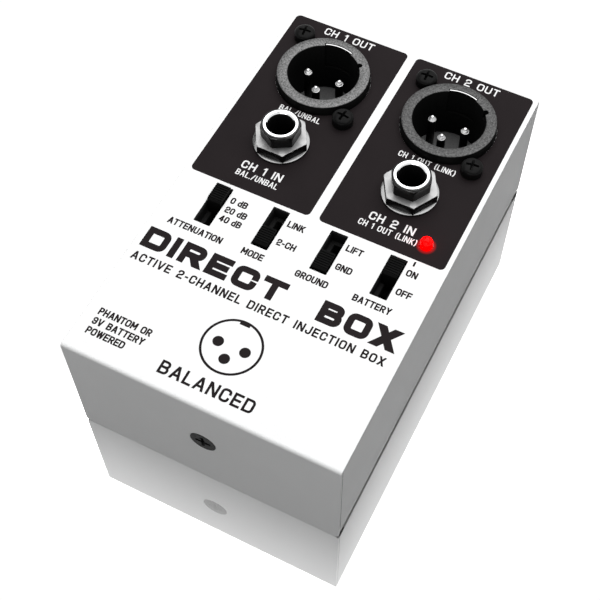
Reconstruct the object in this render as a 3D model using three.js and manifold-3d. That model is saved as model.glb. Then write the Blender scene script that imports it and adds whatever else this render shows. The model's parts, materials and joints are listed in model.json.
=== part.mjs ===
// Two-channel direct injection box: a folded steel case with two XLR-type outputs, two jack inputs,
// four slide switches and a lamp, and the circuit board and battery that it holds.
// Millimetres, +Z up. The origin is the centre of the case's base, +Y points to the connector end.
import * as THREE from "three";
import { mergeVertices } from "three/addons/utils/BufferGeometryUtils.js";
import Module from "manifold-3d";

const wasm = await Module();
wasm.setup();

// Case
const CASE_W = 72;
const CASE_L = 118.5;
const CASE_H = 38.4;
const SHEET = 0.8;
const COVER_BEND = 1.0;
const CHASSIS_BEND = 2.0;
const WALL_GAP = 0.1;
const FOOT_CORNER = 1.25;
const PANEL_TOP = CASE_H;
const PANEL_UNDER = CASE_H - SHEET;
const TAB_W = 22;
const TAB_H = 28;
const RELIEF_L = 2.6;
const RELIEF_H = 1.6;
const RELIEF_DEPTH = 2.4;

// Case screws and their clinch nuts
const CASE_SCREW_Z = 20.3;
const CASE_SCREW_HEAD_R = 3.45;
const CASE_SCREW_SHANK_R = 1.7;
const CASE_SCREW_L = 8;
const NUT_BORE_R = 1.8;
const NUT_R = 4;
const NUT_L = 3;

// Circuit board
const BOARD_T = 1.6;
const BOARD_TOP = 22;
const BOARD_UNDER = BOARD_TOP - BOARD_T;
const BOARD_HALF_W = 33.8;
const BOARD_FRONT = -20.5;
const BOARD_BACK = 57;
const BOARD_NOTCH_W = 12;
const BOARD_NOTCH_L = 6.6;

// Outputs
const CHANNEL_X = 18;
const OUT_Y = 40.5;
const RING_R = 12.3;
const RING_RISE = 2.7;
const CUP_R = 9.5;
const CUP_DEPTH = 15;
const SHELL_R = 11;
const FLANGE_HALF = 13.7;
const FLANGE_T = 2.4;
const OUT_HOLE_R = RING_R + 0.3;
const OUT_SCREW_OFFSET = 11.1;
const OUT_SCREW_HEAD_R = 2.8;
const OUT_SCREW_RISE = 3;
const OUT_SCREW_SHANK_R = 1.4;
const OUT_SCREW_TIP = 31.5;
const BOSS_R = 2.6;
const PIN_R = 1.08;
const PIN_TOP = 39.75;
const PIN_SPOTS = [
  [-4.6, 0.2],
  [4.6, 0.2],
  [0, -4.4],
];
const STRIKE_HALF_ANGLE = THREE.MathUtils.degToRad(22.5);
const STRIKE_IN_R = 9.87;
const STRIKE_OUT_R = 10.2;
const STRIKE_DROP = 8;

// Jacks
const JACK_Y = 16.4;
const NOSE_R = 4.4;
const NOSE_BORE_R = 3.95;
const NOSE_LOW = 33.8;
const NOSE_FLANGE_R = 6.6;
const JACK_HOLE_R = NOSE_R + 0.15;
const BUSHING_FLATS = 9.2;
const BUSHING_RISE = 7.4;
const BUSHING_RIM_R = 4.4;
const BUSHING_BORE_R = 3.25;
const BUSHING_MOUTH_R = 3.75;
const BUSHING_SLEEVE_R = 3.9;
const JACK_TOP = 36.9;
const JACK_BOTTOM = 12;
const JACK_FLOOR = 13.5;
const JACK_BORE_R = 3.4;
const WASHER_R = 7.35;
const WASHER_T = 0.7;
const HEX_FLATS = 12.7;
const HEX_T = 2.7;
const HEX_RIM_R = 7;
const NUT_TOP = PANEL_TOP + WASHER_T + HEX_T;

// Slide switches
const SWITCH_Y = -8.6;
const SWITCH_PITCH = 15.88;
const SLOT_W = 4.45;
const SLOT_L = 12.4;
const SWITCH_TRAVEL = 5.8;
const KNOB_W = 3.75;
const KNOB_L = 5.5;
const KNOB_RISE = 1.0;
const TALL_KNOB_RISE = 1.6;
const RIBS = 7;
const RIB_DEPTH = 0.22;
const WELL_FLOOR = 34.3;
const HOUSING_W = 7.4;
const HOUSING_L = 19.8;
const HOUSING_TOP = 37.5;
const RUNNER_LOW = 29.2;
const RUNNER_TOP = 31.2;

// Lamp
const LAMP = [28.1, 3.7];
const LAMP_R = 1.5;
const LAMP_RISE = 2.9;
const LAMP_SEAT = 35.8;
const LAMP_FLANGE_R = 1.9;

// Battery
const BATTERY_L = 46.4;
const BATTERY_W = 26.5;
const BATTERY_T = 17.5;
const BATTERY_Y = -37.7;
const BATTERY_LEFT = -25;
const CLIP_T = 0.6;
const BATTERY_Z = SHEET + CLIP_T + BATTERY_T / 2;
const TERMINAL_SPACING = 12.7;

const AXES = {
  x: new THREE.Vector3(1, 0, 0),
  y: new THREE.Vector3(0, 1, 0),
  z: new THREE.Vector3(0, 0, 1),
};

const group = new THREE.Group();

const FINISHES = {
  white_steel: [0xf2f3f3, 0.5, 0.1],
  grey_metal: [0x8d8f8f, 0.55, 0.6],
  black_metal: [0x26292a, 0.45, 0.6],
  black_plastic: [0x161616, 0.5, 0],
  chrome: [0xdcdedf, 0.12, 1],
  steel: [0xb9bcbd, 0.35, 1],
  gold: [0xd0b060, 0.3, 1],
  red_lens: [0xe01010, 0.2, 0],
  board_green: [0x1d5a35, 0.5, 0],
  blue_sleeve: [0x1c2b55, 0.4, 0],
  resistor_tan: [0xc7a97c, 0.6, 0],
  red_wire: [0xb01818, 0.5, 0],
  black_wire: [0x181818, 0.5, 0],
  battery_jacket: [0x35373c, 0.4, 0.4],
};

// Adds one named sub-part in its finish.
function add(name, geometry, finish, x = 0, y = 0) {
  const [color, roughness, metalness] = FINISHES[finish];
  const material = new THREE.MeshStandardMaterial({ color, roughness, metalness });
  const mesh = new THREE.Mesh(geometry, material);
  mesh.name = name;
  mesh.position.set(x, y, 0);
  group.add(mesh);
}

function toSolid(geometry) {
  const bare = geometry.clone();
  for (const name of Object.keys(bare.attributes)) {
    if (name !== "position") bare.deleteAttribute(name);
  }
  const merged = mergeVertices(bare, 1e-4);
  return new wasm.Manifold(
    new wasm.Mesh({
      numProp: 3,
      vertProperties: merged.attributes.position.array,
      triVerts: new Uint32Array(merged.index.array),
    }),
  );
}

function toGeometry(solid) {
  const mesh = solid.getMesh();
  const geometry = new THREE.BufferGeometry();
  geometry.setAttribute("position", new THREE.BufferAttribute(mesh.vertProperties, 3));
  geometry.setIndex(new THREE.BufferAttribute(mesh.triVerts, 1));
  return geometry;
}

function joined(...geometries) {
  return toGeometry(geometries.map(toSolid).reduce((a, b) => a.add(b)));
}

function cut(geometry, ...cutters) {
  return toGeometry(cutters.map(toSolid).reduce((a, b) => a.subtract(b), toSolid(geometry)));
}

function block(x0, x1, y0, y1, z0, z1) {
  const geometry = new THREE.BoxGeometry(x1 - x0, y1 - y0, z1 - z0);
  return geometry.translate((x0 + x1) / 2, (y0 + y1) / 2, (z0 + z1) / 2);
}

// An upright cylinder on the point (x, y).
function post(r, z0, z1, x = 0, y = 0, sides = 24) {
  const geometry = new THREE.CylinderGeometry(r, r, z1 - z0, sides);
  return geometry.rotateX(Math.PI / 2).translate(x, y, (z0 + z1) / 2);
}

// A solid of revolution about Z, from [radius, height] pairs that start and end on the axis or close.
function turned(profile, sides = 20) {
  const points = profile.map(([r, z]) => new THREE.Vector2(r, z));
  return new THREE.LatheGeometry(points, sides).rotateX(Math.PI / 2);
}

// A ring's profile, closed on itself, from its outline.
function ring(profile, sides = 24) {
  return turned([...profile, profile[0]], sides);
}

function upright(shape, z0, z1, curveSegments = 12) {
  const settings = { depth: z1 - z0, bevelEnabled: false, curveSegments };
  return new THREE.ExtrudeGeometry(shape, settings).translate(0, 0, z0);
}

// Extrudes along X a shape drawn with its own x along Y and its own y along Z.
function alongX(shape, x0, x1, curveSegments = 4) {
  const turn = new THREE.Matrix4().makeBasis(AXES.y, AXES.z, AXES.x);
  return upright(shape, x0, x1, curveSegments).applyMatrix4(turn);
}

// Extrudes along -Y a shape drawn with its own x along X and its own y along Z.
function alongY(shape, y0, y1, curveSegments = 4) {
  return upright(shape, -y1, -y0, curveSegments).rotateX(Math.PI / 2);
}

function polygon(points) {
  return new THREE.Shape(points.map(([x, y]) => new THREE.Vector2(x, y)));
}

function roundedRectangle(halfW, halfL, r) {
  const shape = new THREE.Shape();
  shape.absarc(halfW - r, halfL - r, r, 0, Math.PI / 2);
  shape.absarc(r - halfW, halfL - r, r, Math.PI / 2, Math.PI);
  shape.absarc(r - halfW, r - halfL, r, Math.PI, 1.5 * Math.PI);
  shape.absarc(halfW - r, r - halfL, r, 1.5 * Math.PI, 2 * Math.PI);
  return shape;
}

function sector(inR, outR, from, to) {
  const shape = new THREE.Shape();
  shape.absarc(0, 0, outR, from, to);
  shape.absarc(0, 0, inR, to, from, true);
  return shape;
}

// The outline of a bent strip of metal that follows points, with a mitre at each bend.
function strip(points, thickness) {
  const path = points.map(([x, y]) => new THREE.Vector2(x, y));
  const sides = [[], []];
  path.forEach((point, i) => {
    const before = point.clone().sub(path[Math.max(i - 1, 0)]);
    const after = path[Math.min(i + 1, path.length - 1)].clone().sub(point);
    const a = (before.length() ? before : after).clone().normalize();
    const b = (after.length() ? after : before).clone().normalize();
    const normal = new THREE.Vector2(-a.y - b.y, a.x + b.x).normalize();
    const reach = thickness / 2 / Math.abs(normal.dot(new THREE.Vector2(-a.y, a.x)));
    sides[0].push(point.clone().addScaledVector(normal, reach));
    sides[1].unshift(point.clone().addScaledVector(normal, -reach));
  });
  return new THREE.Shape([...sides[0], ...sides[1]]);
}

// A folded U: a base of the given half width and walls of the given height, open downwards.
function foldedU(half, height, bend) {
  const inner = bend - SHEET;
  const shape = new THREE.Shape();
  shape.moveTo(half, 0);
  shape.lineTo(half, height - bend);
  shape.absarc(half - bend, height - bend, bend, 0, Math.PI / 2);
  shape.absarc(bend - half, height - bend, bend, Math.PI / 2, Math.PI);
  shape.lineTo(-half, 0);
  shape.lineTo(SHEET - half, 0);
  shape.lineTo(SHEET - half, height - bend);
  shape.absarc(bend - half, height - bend, inner, Math.PI, Math.PI / 2, true);
  shape.absarc(half - bend, height - bend, inner, Math.PI / 2, 0, true);
  shape.lineTo(half - SHEET, 0);
  return shape;
}

// What is cut off a wall's lower corner to round it; sign is the side that it is on.
function footCorner(sign) {
  const shape = new THREE.Shape();
  const r = FOOT_CORNER;
  shape.moveTo(1, -1);
  shape.lineTo(1, r);
  shape.lineTo(0, r);
  shape.absarc(-r, r, r, 0, -Math.PI / 2, true);
  shape.lineTo(-r, -1);
  const geometry = alongY(shape, -CASE_L, CASE_L);
  geometry.translate(CASE_W / 2, 0, 0);
  return sign > 0 ? geometry : geometry.rotateZ(Math.PI);
}

function chamferedScrewHole(end) {
  const depth = 2 * SHEET + WALL_GAP;
  const clearance = 0.15;
  const r = CASE_SCREW_HEAD_R + clearance;
  const profile = [
    [0, -1],
    [r + 1, -1],
    [r - depth, depth],
    [r - depth, depth + 1],
    [0, depth + 1],
  ];
  return facing(turned(profile), end);
}

// Turns a piece made with its axis on +Z, seen from its head at z = 0, to lie in an end wall.
function facing(geometry, end) {
  geometry.rotateX(end < 0 ? -Math.PI / 2 : Math.PI / 2);
  return geometry.translate(0, (end * CASE_L) / 2, CASE_SCREW_Z);
}

const CHANNELS = [-1, 1].map((sign, i) => ({ number: i + 1, x: sign * CHANNEL_X }));

const SWITCHES = [
  { name: "attenuation", place: -1.5, rest: 1, rise: TALL_KNOB_RISE },
  { name: "mode", place: -0.5, rest: -1, rise: KNOB_RISE },
  { name: "ground", place: 0.5, rest: -1, rise: KNOB_RISE },
  { name: "battery", place: 1.5, rest: 1, rise: KNOB_RISE },
];

const OUT_SCREWS = [
  { name: "left", x: -OUT_SCREW_OFFSET, y: OUT_SCREW_OFFSET },
  { name: "right", x: OUT_SCREW_OFFSET, y: -OUT_SCREW_OFFSET },
];

function coverHoles() {
  const low = PANEL_UNDER - 1;
  const high = PANEL_TOP + 1;
  const holes = [post(LAMP_R + 0.2, low, high, ...LAMP, 14)];
  for (const { x } of CHANNELS) {
    holes.push(post(OUT_HOLE_R, low, high, x, OUT_Y, 40));
    holes.push(post(JACK_HOLE_R, low, high, x, JACK_Y, 20));
    for (const screw of OUT_SCREWS) {
      holes.push(post(OUT_SCREW_SHANK_R + 0.2, low, high, x + screw.x, OUT_Y + screw.y, 10));
    }
  }
  for (const { place } of SWITCHES) {
    const x = place * SWITCH_PITCH;
    const [front, back] = [SWITCH_Y - SLOT_L / 2, SWITCH_Y + SLOT_L / 2];
    holes.push(block(x - SLOT_W / 2, x + SLOT_W / 2, front, back, low, high));
  }
  return holes;
}

function cover() {
  const folded = alongX(foldedU(CASE_L / 2, CASE_H, COVER_BEND), -CASE_W / 2, CASE_W / 2);
  const corners = [footCorner(-1), footCorner(1)];
  const screwHoles = [chamferedScrewHole(-1), chamferedScrewHole(1)];
  return cut(folded, ...coverHoles(), ...corners, ...screwHoles);
}

function chassis() {
  const end = CASE_L / 2 - SHEET - WALL_GAP;
  const height = PANEL_UNDER;
  const folded = alongY(foldedU(CASE_W / 2, height, CHASSIS_BEND), -end, end);
  folded.rotateY(Math.PI).translate(0, 0, height);
  const tabs = [-1, 1].map((side) => {
    const [near, far] = [side * end, side * (end - SHEET)].sort((a, b) => a - b);
    return block(-TAB_W / 2, TAB_W / 2, near, far, 0, TAB_H);
  });
  const reliefs = [-1, 1].flatMap((sideX) =>
    [-1, 1].map((sideY) => {
      const [x0, x1] = [sideX * (CASE_W / 2 - RELIEF_DEPTH), sideX * CASE_W].sort((a, b) => a - b);
      const [y0, y1] = [sideY * (end - RELIEF_L), sideY * CASE_L].sort((a, b) => a - b);
      return block(x0, x1, y0, y1, -1, RELIEF_H);
    }),
  );
  return cut(joined(folded, ...tabs), ...reliefs, chamferedScrewHole(-1), chamferedScrewHole(1));
}

function crossRecess(r, top, depth) {
  const half = 0.45;
  const arms = [
    block(-r, r, -half, half, top - depth, top + 1),
    block(-half, half, -r, r, top - depth, top + 1),
  ];
  return joined(...arms);
}

function caseScrew(end) {
  const taper = CASE_SCREW_HEAD_R - CASE_SCREW_SHANK_R;
  const profile = [
    [0, -CASE_SCREW_L],
    [CASE_SCREW_SHANK_R, -CASE_SCREW_L],
    [CASE_SCREW_SHANK_R, -taper],
    [CASE_SCREW_HEAD_R, 0],
    [0, 0],
  ];
  const screw = cut(turned(profile), crossRecess(2, 0, 1.2));
  return facing(screw.rotateX(Math.PI), end);
}

function clinchNut(end) {
  const start = 2 * SHEET + WALL_GAP;
  const profile = [
    [NUT_BORE_R, start],
    [NUT_R, start],
    [NUT_R, start + NUT_L],
    [NUT_BORE_R, start + NUT_L],
  ];
  return facing(ring(profile, 16), end);
}

function outputShell() {
  const top = PANEL_TOP + RING_RISE;
  const flangeLow = PANEL_UNDER - FLANGE_T;
  const base = BOARD_TOP + 0.3;
  const tube = ring(
    [
      [CUP_R, base],
      [SHELL_R, base],
      [SHELL_R, flangeLow],
      [RING_R, flangeLow],
      [RING_R, top - 0.2],
      [RING_R - 0.2, top],
      [CUP_R + 0.2, top],
      [CUP_R, top - 0.2],
    ],
    40,
  );
  const plate = roundedRectangle(FLANGE_HALF, FLANGE_HALF, 4);
  plate.holes.push(new THREE.Path().absarc(0, 0, CUP_R + 0.8, 0, 2 * Math.PI));
  const flange = upright(plate, flangeLow, PANEL_UNDER, 6);
  const bosses = OUT_SCREWS.map(({ x, y }) => post(BOSS_R, OUT_SCREW_TIP - 1, flangeLow + 1, x, y, 12));
  const bores = OUT_SCREWS.map(({ x, y }) =>
    post(OUT_SCREW_SHANK_R + 0.1, OUT_SCREW_TIP - 2, PANEL_UNDER + 1, x, y, 10),
  );
  const notch = post(0.8, top - 2.5, top + 1, 9.9 * Math.cos(0.7), 9.9 * Math.sin(0.7), 8);
  const middle = Math.PI / 2;
  const spread = STRIKE_HALF_ANGLE + 0.02;
  const pocket = upright(
    sector(CUP_R - 0.4, STRIKE_OUT_R + 0.15, middle - spread, middle + spread),
    top - STRIKE_DROP - 0.1,
    top + 1,
    6,
  );
  return cut(joined(tube, flange, ...bosses), ...bores, notch, pocket);
}

function outputInsert() {
  const floor = PANEL_TOP + RING_RISE - CUP_DEPTH;
  const body = turned(
    [
      [0, BOARD_TOP],
      [SHELL_R, BOARD_TOP],
      [SHELL_R, BOARD_TOP + 0.3],
      [CUP_R - 0.15, BOARD_TOP + 0.3],
      [CUP_R - 0.15, floor - 1],
      [8, floor - 1],
      [8, floor],
      [0, floor],
    ],
    28,
  );
  const holes = PIN_SPOTS.map(([x, y]) => post(PIN_R + 0.1, BOARD_TOP - 1, floor + 1, x, y, 12));
  return cut(body, ...holes);
}

function contactPin() {
  const low = BOARD_UNDER - 1.6;
  return turned(
    [
      [0, low],
      [PIN_R, low],
      [PIN_R, PIN_TOP - 0.85],
      [PIN_R - 0.15, PIN_TOP - 0.7],
      [0.45, PIN_TOP - 0.45],
      [0.3, PIN_TOP],
      [0, PIN_TOP],
    ],
    12,
  );
}

function latchStrike() {
  const top = PANEL_TOP + RING_RISE - 0.1;
  const middle = Math.PI / 2;
  const arc = sector(STRIKE_IN_R, STRIKE_OUT_R, middle - STRIKE_HALF_ANGLE, middle + STRIKE_HALF_ANGLE);
  return upright(arc, top - STRIKE_DROP + 0.1, top, 6);
}

function outputScrew() {
  const top = PANEL_TOP + OUT_SCREW_RISE;
  const screw = turned(
    [
      [0, OUT_SCREW_TIP],
      [OUT_SCREW_SHANK_R, OUT_SCREW_TIP + 1],
      [OUT_SCREW_SHANK_R, PANEL_TOP],
      [OUT_SCREW_HEAD_R, PANEL_TOP],
      [OUT_SCREW_HEAD_R, top - 0.8],
      [OUT_SCREW_HEAD_R - 0.5, top - 0.2],
      [OUT_SCREW_HEAD_R - 1.3, top],
      [0, top],
    ],
    16,
  );
  return cut(screw, crossRecess(1.9, top, 1.3));
}

function buildOutputs() {
  for (const { number, x } of CHANNELS) {
    add(`output_shell_${number}`, outputShell(), "grey_metal", x, OUT_Y);
    add(`output_insert_${number}`, outputInsert(), "black_plastic", x, OUT_Y);
    add(`latch_strike_${number}`, latchStrike(), "chrome", x, OUT_Y);
    PIN_SPOTS.forEach(([pinX, pinY], i) => {
      add(`output_pin_${number}_${i + 1}`, contactPin(), "chrome", x + pinX, OUT_Y + pinY);
    });
    for (const screw of OUT_SCREWS) {
      const name = `output_screw_${number}_${screw.name}`;
      add(name, outputScrew(), "black_metal", x + screw.x, OUT_Y + screw.y);
    }
  }
}

// The two contact springs' routes across the bore, as [x, z] points.
const TIP_ROUTE = [
  [-8, 20.3],
  [-8, 15],
  [-6.8, 14.4],
  [-3.1, 17.3],
  [-4.6, 19.5],
];
const RING_ROUTE = [
  [8.5, 22.1],
  [8.5, 29],
  [7, 29.6],
  [3.1, 24.4],
  [4.6, 23],
];

function jackBody() {
  const upper = block(-8, 8, -9.5, 9.5, BOARD_TOP, JACK_TOP);
  const lower = block(-7.3, 7.3, -8.8, 8.8, JACK_BOTTOM, BOARD_TOP);
  const flange = post(NOSE_FLANGE_R, JACK_TOP - 0.5, PANEL_UNDER);
  const nose = post(NOSE_R, JACK_TOP - 0.5, NUT_TOP);
  const bore = post(JACK_BORE_R, JACK_FLOOR, JACK_TOP + 1);
  const noseBore = post(NOSE_BORE_R, NOSE_LOW, NUT_TOP + 1);
  const tipWindow = block(-9, -2.6, -1.7, 1.7, 13.9, 21);
  const ringWindow = block(2.6, 9, -1.7, 1.7, 22.4, 30.2);
  return cut(joined(upper, lower, flange, nose), bore, noseBore, tipWindow, ringWindow);
}

// A hexagonal bar whose corners are turned down around a rim at its top, and its turn about Z.
function hexPost(flats, low, high, rim, turn) {
  const corner = flats / Math.sqrt(3);
  const corners = [0, 1, 2, 3, 4, 5].map((i) => {
    const angle = turn + (i * Math.PI) / 3;
    return [corner * Math.cos(angle), corner * Math.sin(angle)];
  });
  const hex = upright(polygon(corners), low, high);
  const envelope = turned(
    [
      [0, low - 1],
      [corner + 1, low - 1],
      [corner + 1, high - (corner + 1 - rim) * Math.tan(Math.PI / 6)],
      [rim, high],
      [0, high],
    ],
    24,
  );
  return toGeometry(toSolid(hex).intersect(toSolid(envelope)));
}

// The bushing: a hexagonal head above the nut, and a sleeve inside the body's nose.
function bushing(turn) {
  const top = PANEL_TOP + BUSHING_RISE;
  const head = hexPost(BUSHING_FLATS, NUT_TOP, top, BUSHING_RIM_R, turn);
  const sleeve = post(BUSHING_SLEEVE_R, NOSE_LOW + 0.2, NUT_TOP + 0.5);
  const bore = turned([
    [0, NOSE_LOW - 1],
    [BUSHING_BORE_R, NOSE_LOW - 1],
    [BUSHING_BORE_R, top - 1.6],
    [BUSHING_MOUTH_R - 0.1, top - 0.4],
    [BUSHING_MOUTH_R + 0.15, top],
    [BUSHING_MOUTH_R + 0.15, top + 1],
    [0, top + 1],
  ]);
  return cut(joined(head, sleeve), bore);
}

function washer() {
  return ring([
    [JACK_HOLE_R, PANEL_TOP],
    [WASHER_R, PANEL_TOP],
    [WASHER_R, PANEL_TOP + WASHER_T],
    [JACK_HOLE_R, PANEL_TOP + WASHER_T],
  ]);
}

function hexNut() {
  const low = PANEL_TOP + WASHER_T;
  const hex = hexPost(HEX_FLATS, low, NUT_TOP, HEX_RIM_R, 0);
  return cut(hex, post(JACK_HOLE_R, low - 1, NUT_TOP + 1));
}

function buildJacks() {
  for (const { number, x } of CHANNELS) {
    const bushingTurn = number === 1 ? Math.PI / 6 : 0;
    add(`jack_body_${number}`, jackBody(), "black_plastic", x, JACK_Y);
    add(`jack_bushing_${number}`, bushing(bushingTurn), "black_metal", x, JACK_Y);
    add(`jack_washer_${number}`, washer(), "chrome", x, JACK_Y);
    add(`jack_nut_${number}`, hexNut(), "chrome", x, JACK_Y);
    add(`jack_tip_contact_${number}`, alongY(strip(TIP_ROUTE, 0.4), -1.5, 1.5), "gold", x, JACK_Y);
    add(`jack_ring_contact_${number}`, alongY(strip(RING_ROUTE, 0.4), -1.5, 1.5), "gold", x, JACK_Y);
  }
}

function switchHousing() {
  const body = block(-HOUSING_W / 2, HOUSING_W / 2, -HOUSING_L / 2, HOUSING_L / 2, BOARD_TOP, HOUSING_TOP);
  const well = block(-2.1, 2.1, -SLOT_L / 2, SLOT_L / 2, WELL_FLOOR, HOUSING_TOP + 1);
  const stemSlot = block(-1, 1, -SLOT_L / 2 + 1, SLOT_L / 2 - 1, RUNNER_TOP, WELL_FLOOR + 1);
  const runnerRoom = block(-2.9, 2.9, -7.2, 7.2, RUNNER_LOW - 0.2, RUNNER_TOP + 0.2);
  return cut(body, well, stemSlot, runnerRoom);
}

// A slider: a ribbed knob, its stem and the runner that the stem carries.
function slider(rise) {
  const top = PANEL_TOP + rise;
  const low = WELL_FLOOR + 0.1;
  const half = KNOB_L / 2;
  const pitch = (KNOB_L - 0.8) / RIBS;
  const outline = [
    [half, low],
    [half, top - 0.3],
  ];
  for (let i = 0; i < RIBS; i += 1) {
    const y = half - 0.4 - i * pitch;
    outline.push([y, top], [y - pitch * 0.55, top]);
    outline.push([y - pitch * 0.65, top - RIB_DEPTH], [y - pitch * 0.9, top - RIB_DEPTH]);
  }
  outline.push([-half + 0.4, top - 0.1], [-half, top - 0.5], [-half, low]);
  const knob = alongX(polygon(outline), -KNOB_W / 2, KNOB_W / 2);
  const stem = block(-0.8, 0.8, -2.3, 2.3, RUNNER_TOP - 0.5, low + 0.5);
  const runner = block(-2.7, 2.7, -4, 4, RUNNER_LOW, RUNNER_TOP);
  return joined(knob, stem, runner);
}

function buildSwitches() {
  for (const { name, place, rest, rise } of SWITCHES) {
    const x = place * SWITCH_PITCH;
    add(`${name}_switch_housing`, switchHousing(), "black_plastic", x, SWITCH_Y);
    add(`${name}_slider`, slider(rise), "black_plastic", x, SWITCH_Y + (rest * SWITCH_TRAVEL) / 2);
  }
}

function lamp() {
  const shoulder = PANEL_TOP + LAMP_RISE - LAMP_R;
  const dome = [1, 2, 3].map((i) => {
    const angle = (i * Math.PI) / 8;
    return [LAMP_R * Math.cos(angle), shoulder + LAMP_R * Math.sin(angle)];
  });
  const lens = turned(
    [
      [0, LAMP_SEAT],
      [LAMP_FLANGE_R, LAMP_SEAT],
      [LAMP_FLANGE_R, LAMP_SEAT + 1],
      [LAMP_R, LAMP_SEAT + 1],
      [LAMP_R, shoulder],
      ...dome,
      [0, shoulder + LAMP_R],
    ],
    14,
  );
  const legs = [-0.65, 0.65].map((x) =>
    block(x - 0.25, x + 0.25, -0.25, 0.25, BOARD_TOP, LAMP_SEAT + 0.2),
  );
  return joined(lens, ...legs);
}

function lampSpacer() {
  return ring(
    [
      [1.2, BOARD_TOP],
      [LAMP_FLANGE_R, BOARD_TOP],
      [LAMP_FLANGE_R, LAMP_SEAT],
      [1.2, LAMP_SEAT],
    ],
    14,
  );
}

function circuitBoard() {
  const blank = block(-BOARD_HALF_W, BOARD_HALF_W, BOARD_FRONT, BOARD_BACK, BOARD_UNDER, BOARD_TOP);
  const openings = CHANNELS.flatMap(({ x }) => [
    block(x - 7.5, x + 7.5, JACK_Y - 9, JACK_Y + 9, BOARD_UNDER - 1, BOARD_TOP + 1),
    ...PIN_SPOTS.map(([pinX, pinY]) =>
      post(PIN_R + 0.1, BOARD_UNDER - 1, BOARD_TOP + 1, x + pinX, OUT_Y + pinY, 12),
    ),
  ]);
  const half = BOARD_NOTCH_W / 2;
  const start = BOARD_BACK - BOARD_NOTCH_L;
  const notch = block(-half, half, start, BOARD_BACK + 1, BOARD_UNDER - 1, BOARD_TOP + 1);
  return cut(blank, ...openings, notch);
}

// An eight-legged amplifier chip.
function chip() {
  const body = block(-4.8, 4.8, -3.2, 3.2, BOARD_TOP + 0.5, BOARD_TOP + 3.8);
  const legs = [-3.81, -1.27, 1.27, 3.81].map((x) =>
    block(x - 0.3, x + 0.3, -3.8, 3.8, BOARD_TOP, BOARD_TOP + 1.9),
  );
  const mark = post(0.6, BOARD_TOP + 3.5, BOARD_TOP + 4.5, -4, 0, 8);
  return cut(joined(body, ...legs), mark);
}

function capacitor() {
  return turned(
    [
      [0, BOARD_TOP],
      [3.15, BOARD_TOP],
      [3.15, BOARD_TOP + 1.5],
      [2.95, BOARD_TOP + 1.9],
      [3.15, BOARD_TOP + 2.3],
      [3.15, BOARD_TOP + 11],
      [0, BOARD_TOP + 11],
    ],
    14,
  );
}

function resistor() {
  const height = BOARD_TOP + 1.6;
  const body = turned(
    [
      [0, -3.2],
      [1.15, -3.2],
      [1.15, -2.2],
      [0.95, -1.8],
      [0.95, 1.8],
      [1.15, 2.2],
      [1.15, 3.2],
      [0, 3.2],
    ],
    10,
  );
  body.rotateX(Math.PI / 2).translate(0, 0, height);
  const wire = block(-0.3, 0.3, -5, 5, height - 0.3, height + 0.3);
  const legs = [-1, 1].map((side) => block(-0.3, 0.3, side * 4.7 - 0.3, side * 4.7 + 0.3, BOARD_TOP, height));
  return joined(body, wire, ...legs);
}

const CHIP_SPOTS = [
  [0, 7],
  [0, 16],
];
const CAPACITOR_SPOTS = [
  [-3.6, 24],
  [3.6, 24],
  [0, 36],
  [0, 46],
];
const RESISTOR_SPOTS = [
  [-30.4, 12],
  [-30.4, 23],
  [30.4, 12],
  [30.4, 23],
];

function buildBoard() {
  add("circuit_board", circuitBoard(), "board_green");
  CHIP_SPOTS.forEach(([x, y], i) => add(`amplifier_chip_${i + 1}`, chip(), "black_plastic", x, y));
  CAPACITOR_SPOTS.forEach(([x, y], i) => add(`capacitor_${i + 1}`, capacitor(), "blue_sleeve", x, y));
  RESISTOR_SPOTS.forEach(([x, y], i) => add(`resistor_${i + 1}`, resistor(), "resistor_tan", x, y));
  add("lamp", lamp(), "red_lens", ...LAMP);
  add("lamp_spacer", lampSpacer(), "black_plastic", ...LAMP);
}

function battery() {
  const low = BATTERY_Z - BATTERY_T / 2;
  const shape = roundedRectangle(BATTERY_W / 2, BATTERY_T / 2, 1.5);
  const body = alongX(shape, BATTERY_LEFT, BATTERY_LEFT + BATTERY_L, 4);
  body.translate(0, BATTERY_Y, low + BATTERY_T / 2);
  const end = BATTERY_LEFT + BATTERY_L;
  const terminals = [
    [-1, 2.9],
    [1, 4.1],
  ].map(([side, r]) => {
    const stud = new THREE.CylinderGeometry(r, r, 3.1, 12).rotateZ(Math.PI / 2);
    return stud.translate(end + 1.05, BATTERY_Y + (side * TERMINAL_SPACING) / 2, BATTERY_Z);
  });
  return joined(body, ...terminals);
}

function batterySnap() {
  const end = BATTERY_LEFT + BATTERY_L;
  const plate = block(end + 0.3, end + 4.6, BATTERY_Y - 12.8, BATTERY_Y + 12.8, BATTERY_Z - 6, BATTERY_Z + 6);
  const sockets = [
    [-1, 3.2],
    [1, 4.4],
  ].map(([side, r]) => {
    const hole = new THREE.CylinderGeometry(r, r, 3.2, 12).rotateZ(Math.PI / 2);
    return hole.translate(end + 1.3, BATTERY_Y + (side * TERMINAL_SPACING) / 2, BATTERY_Z);
  });
  return cut(plate, ...sockets);
}

// A lead from the snap's back up to the board's underside; lane keeps the two leads side by side.
function batteryLead(offset, lane) {
  const start = BATTERY_LEFT + BATTERY_L + 4.9;
  const route = new THREE.CatmullRomCurve3([
    new THREE.Vector3(start, BATTERY_Y + offset, BATTERY_Z),
    new THREE.Vector3(start + 1.8 + lane, BATTERY_Y + offset + 0.6, BATTERY_Z + 1),
    new THREE.Vector3(start + 1.8 + lane, BATTERY_Y + offset + 7, BATTERY_Z + 3.5),
    new THREE.Vector3(start + 1 + lane, BOARD_FRONT - 0.5, BATTERY_Z + 5.5),
    new THREE.Vector3(start + 1 + lane, BOARD_FRONT + 2, BOARD_UNDER - 0.3),
  ]);
  const section = new THREE.Shape().absarc(0, 0, 0.6, 0, 2 * Math.PI);
  return new THREE.ExtrudeGeometry(section, { steps: 14, curveSegments: 2, extrudePath: route });
}

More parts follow.
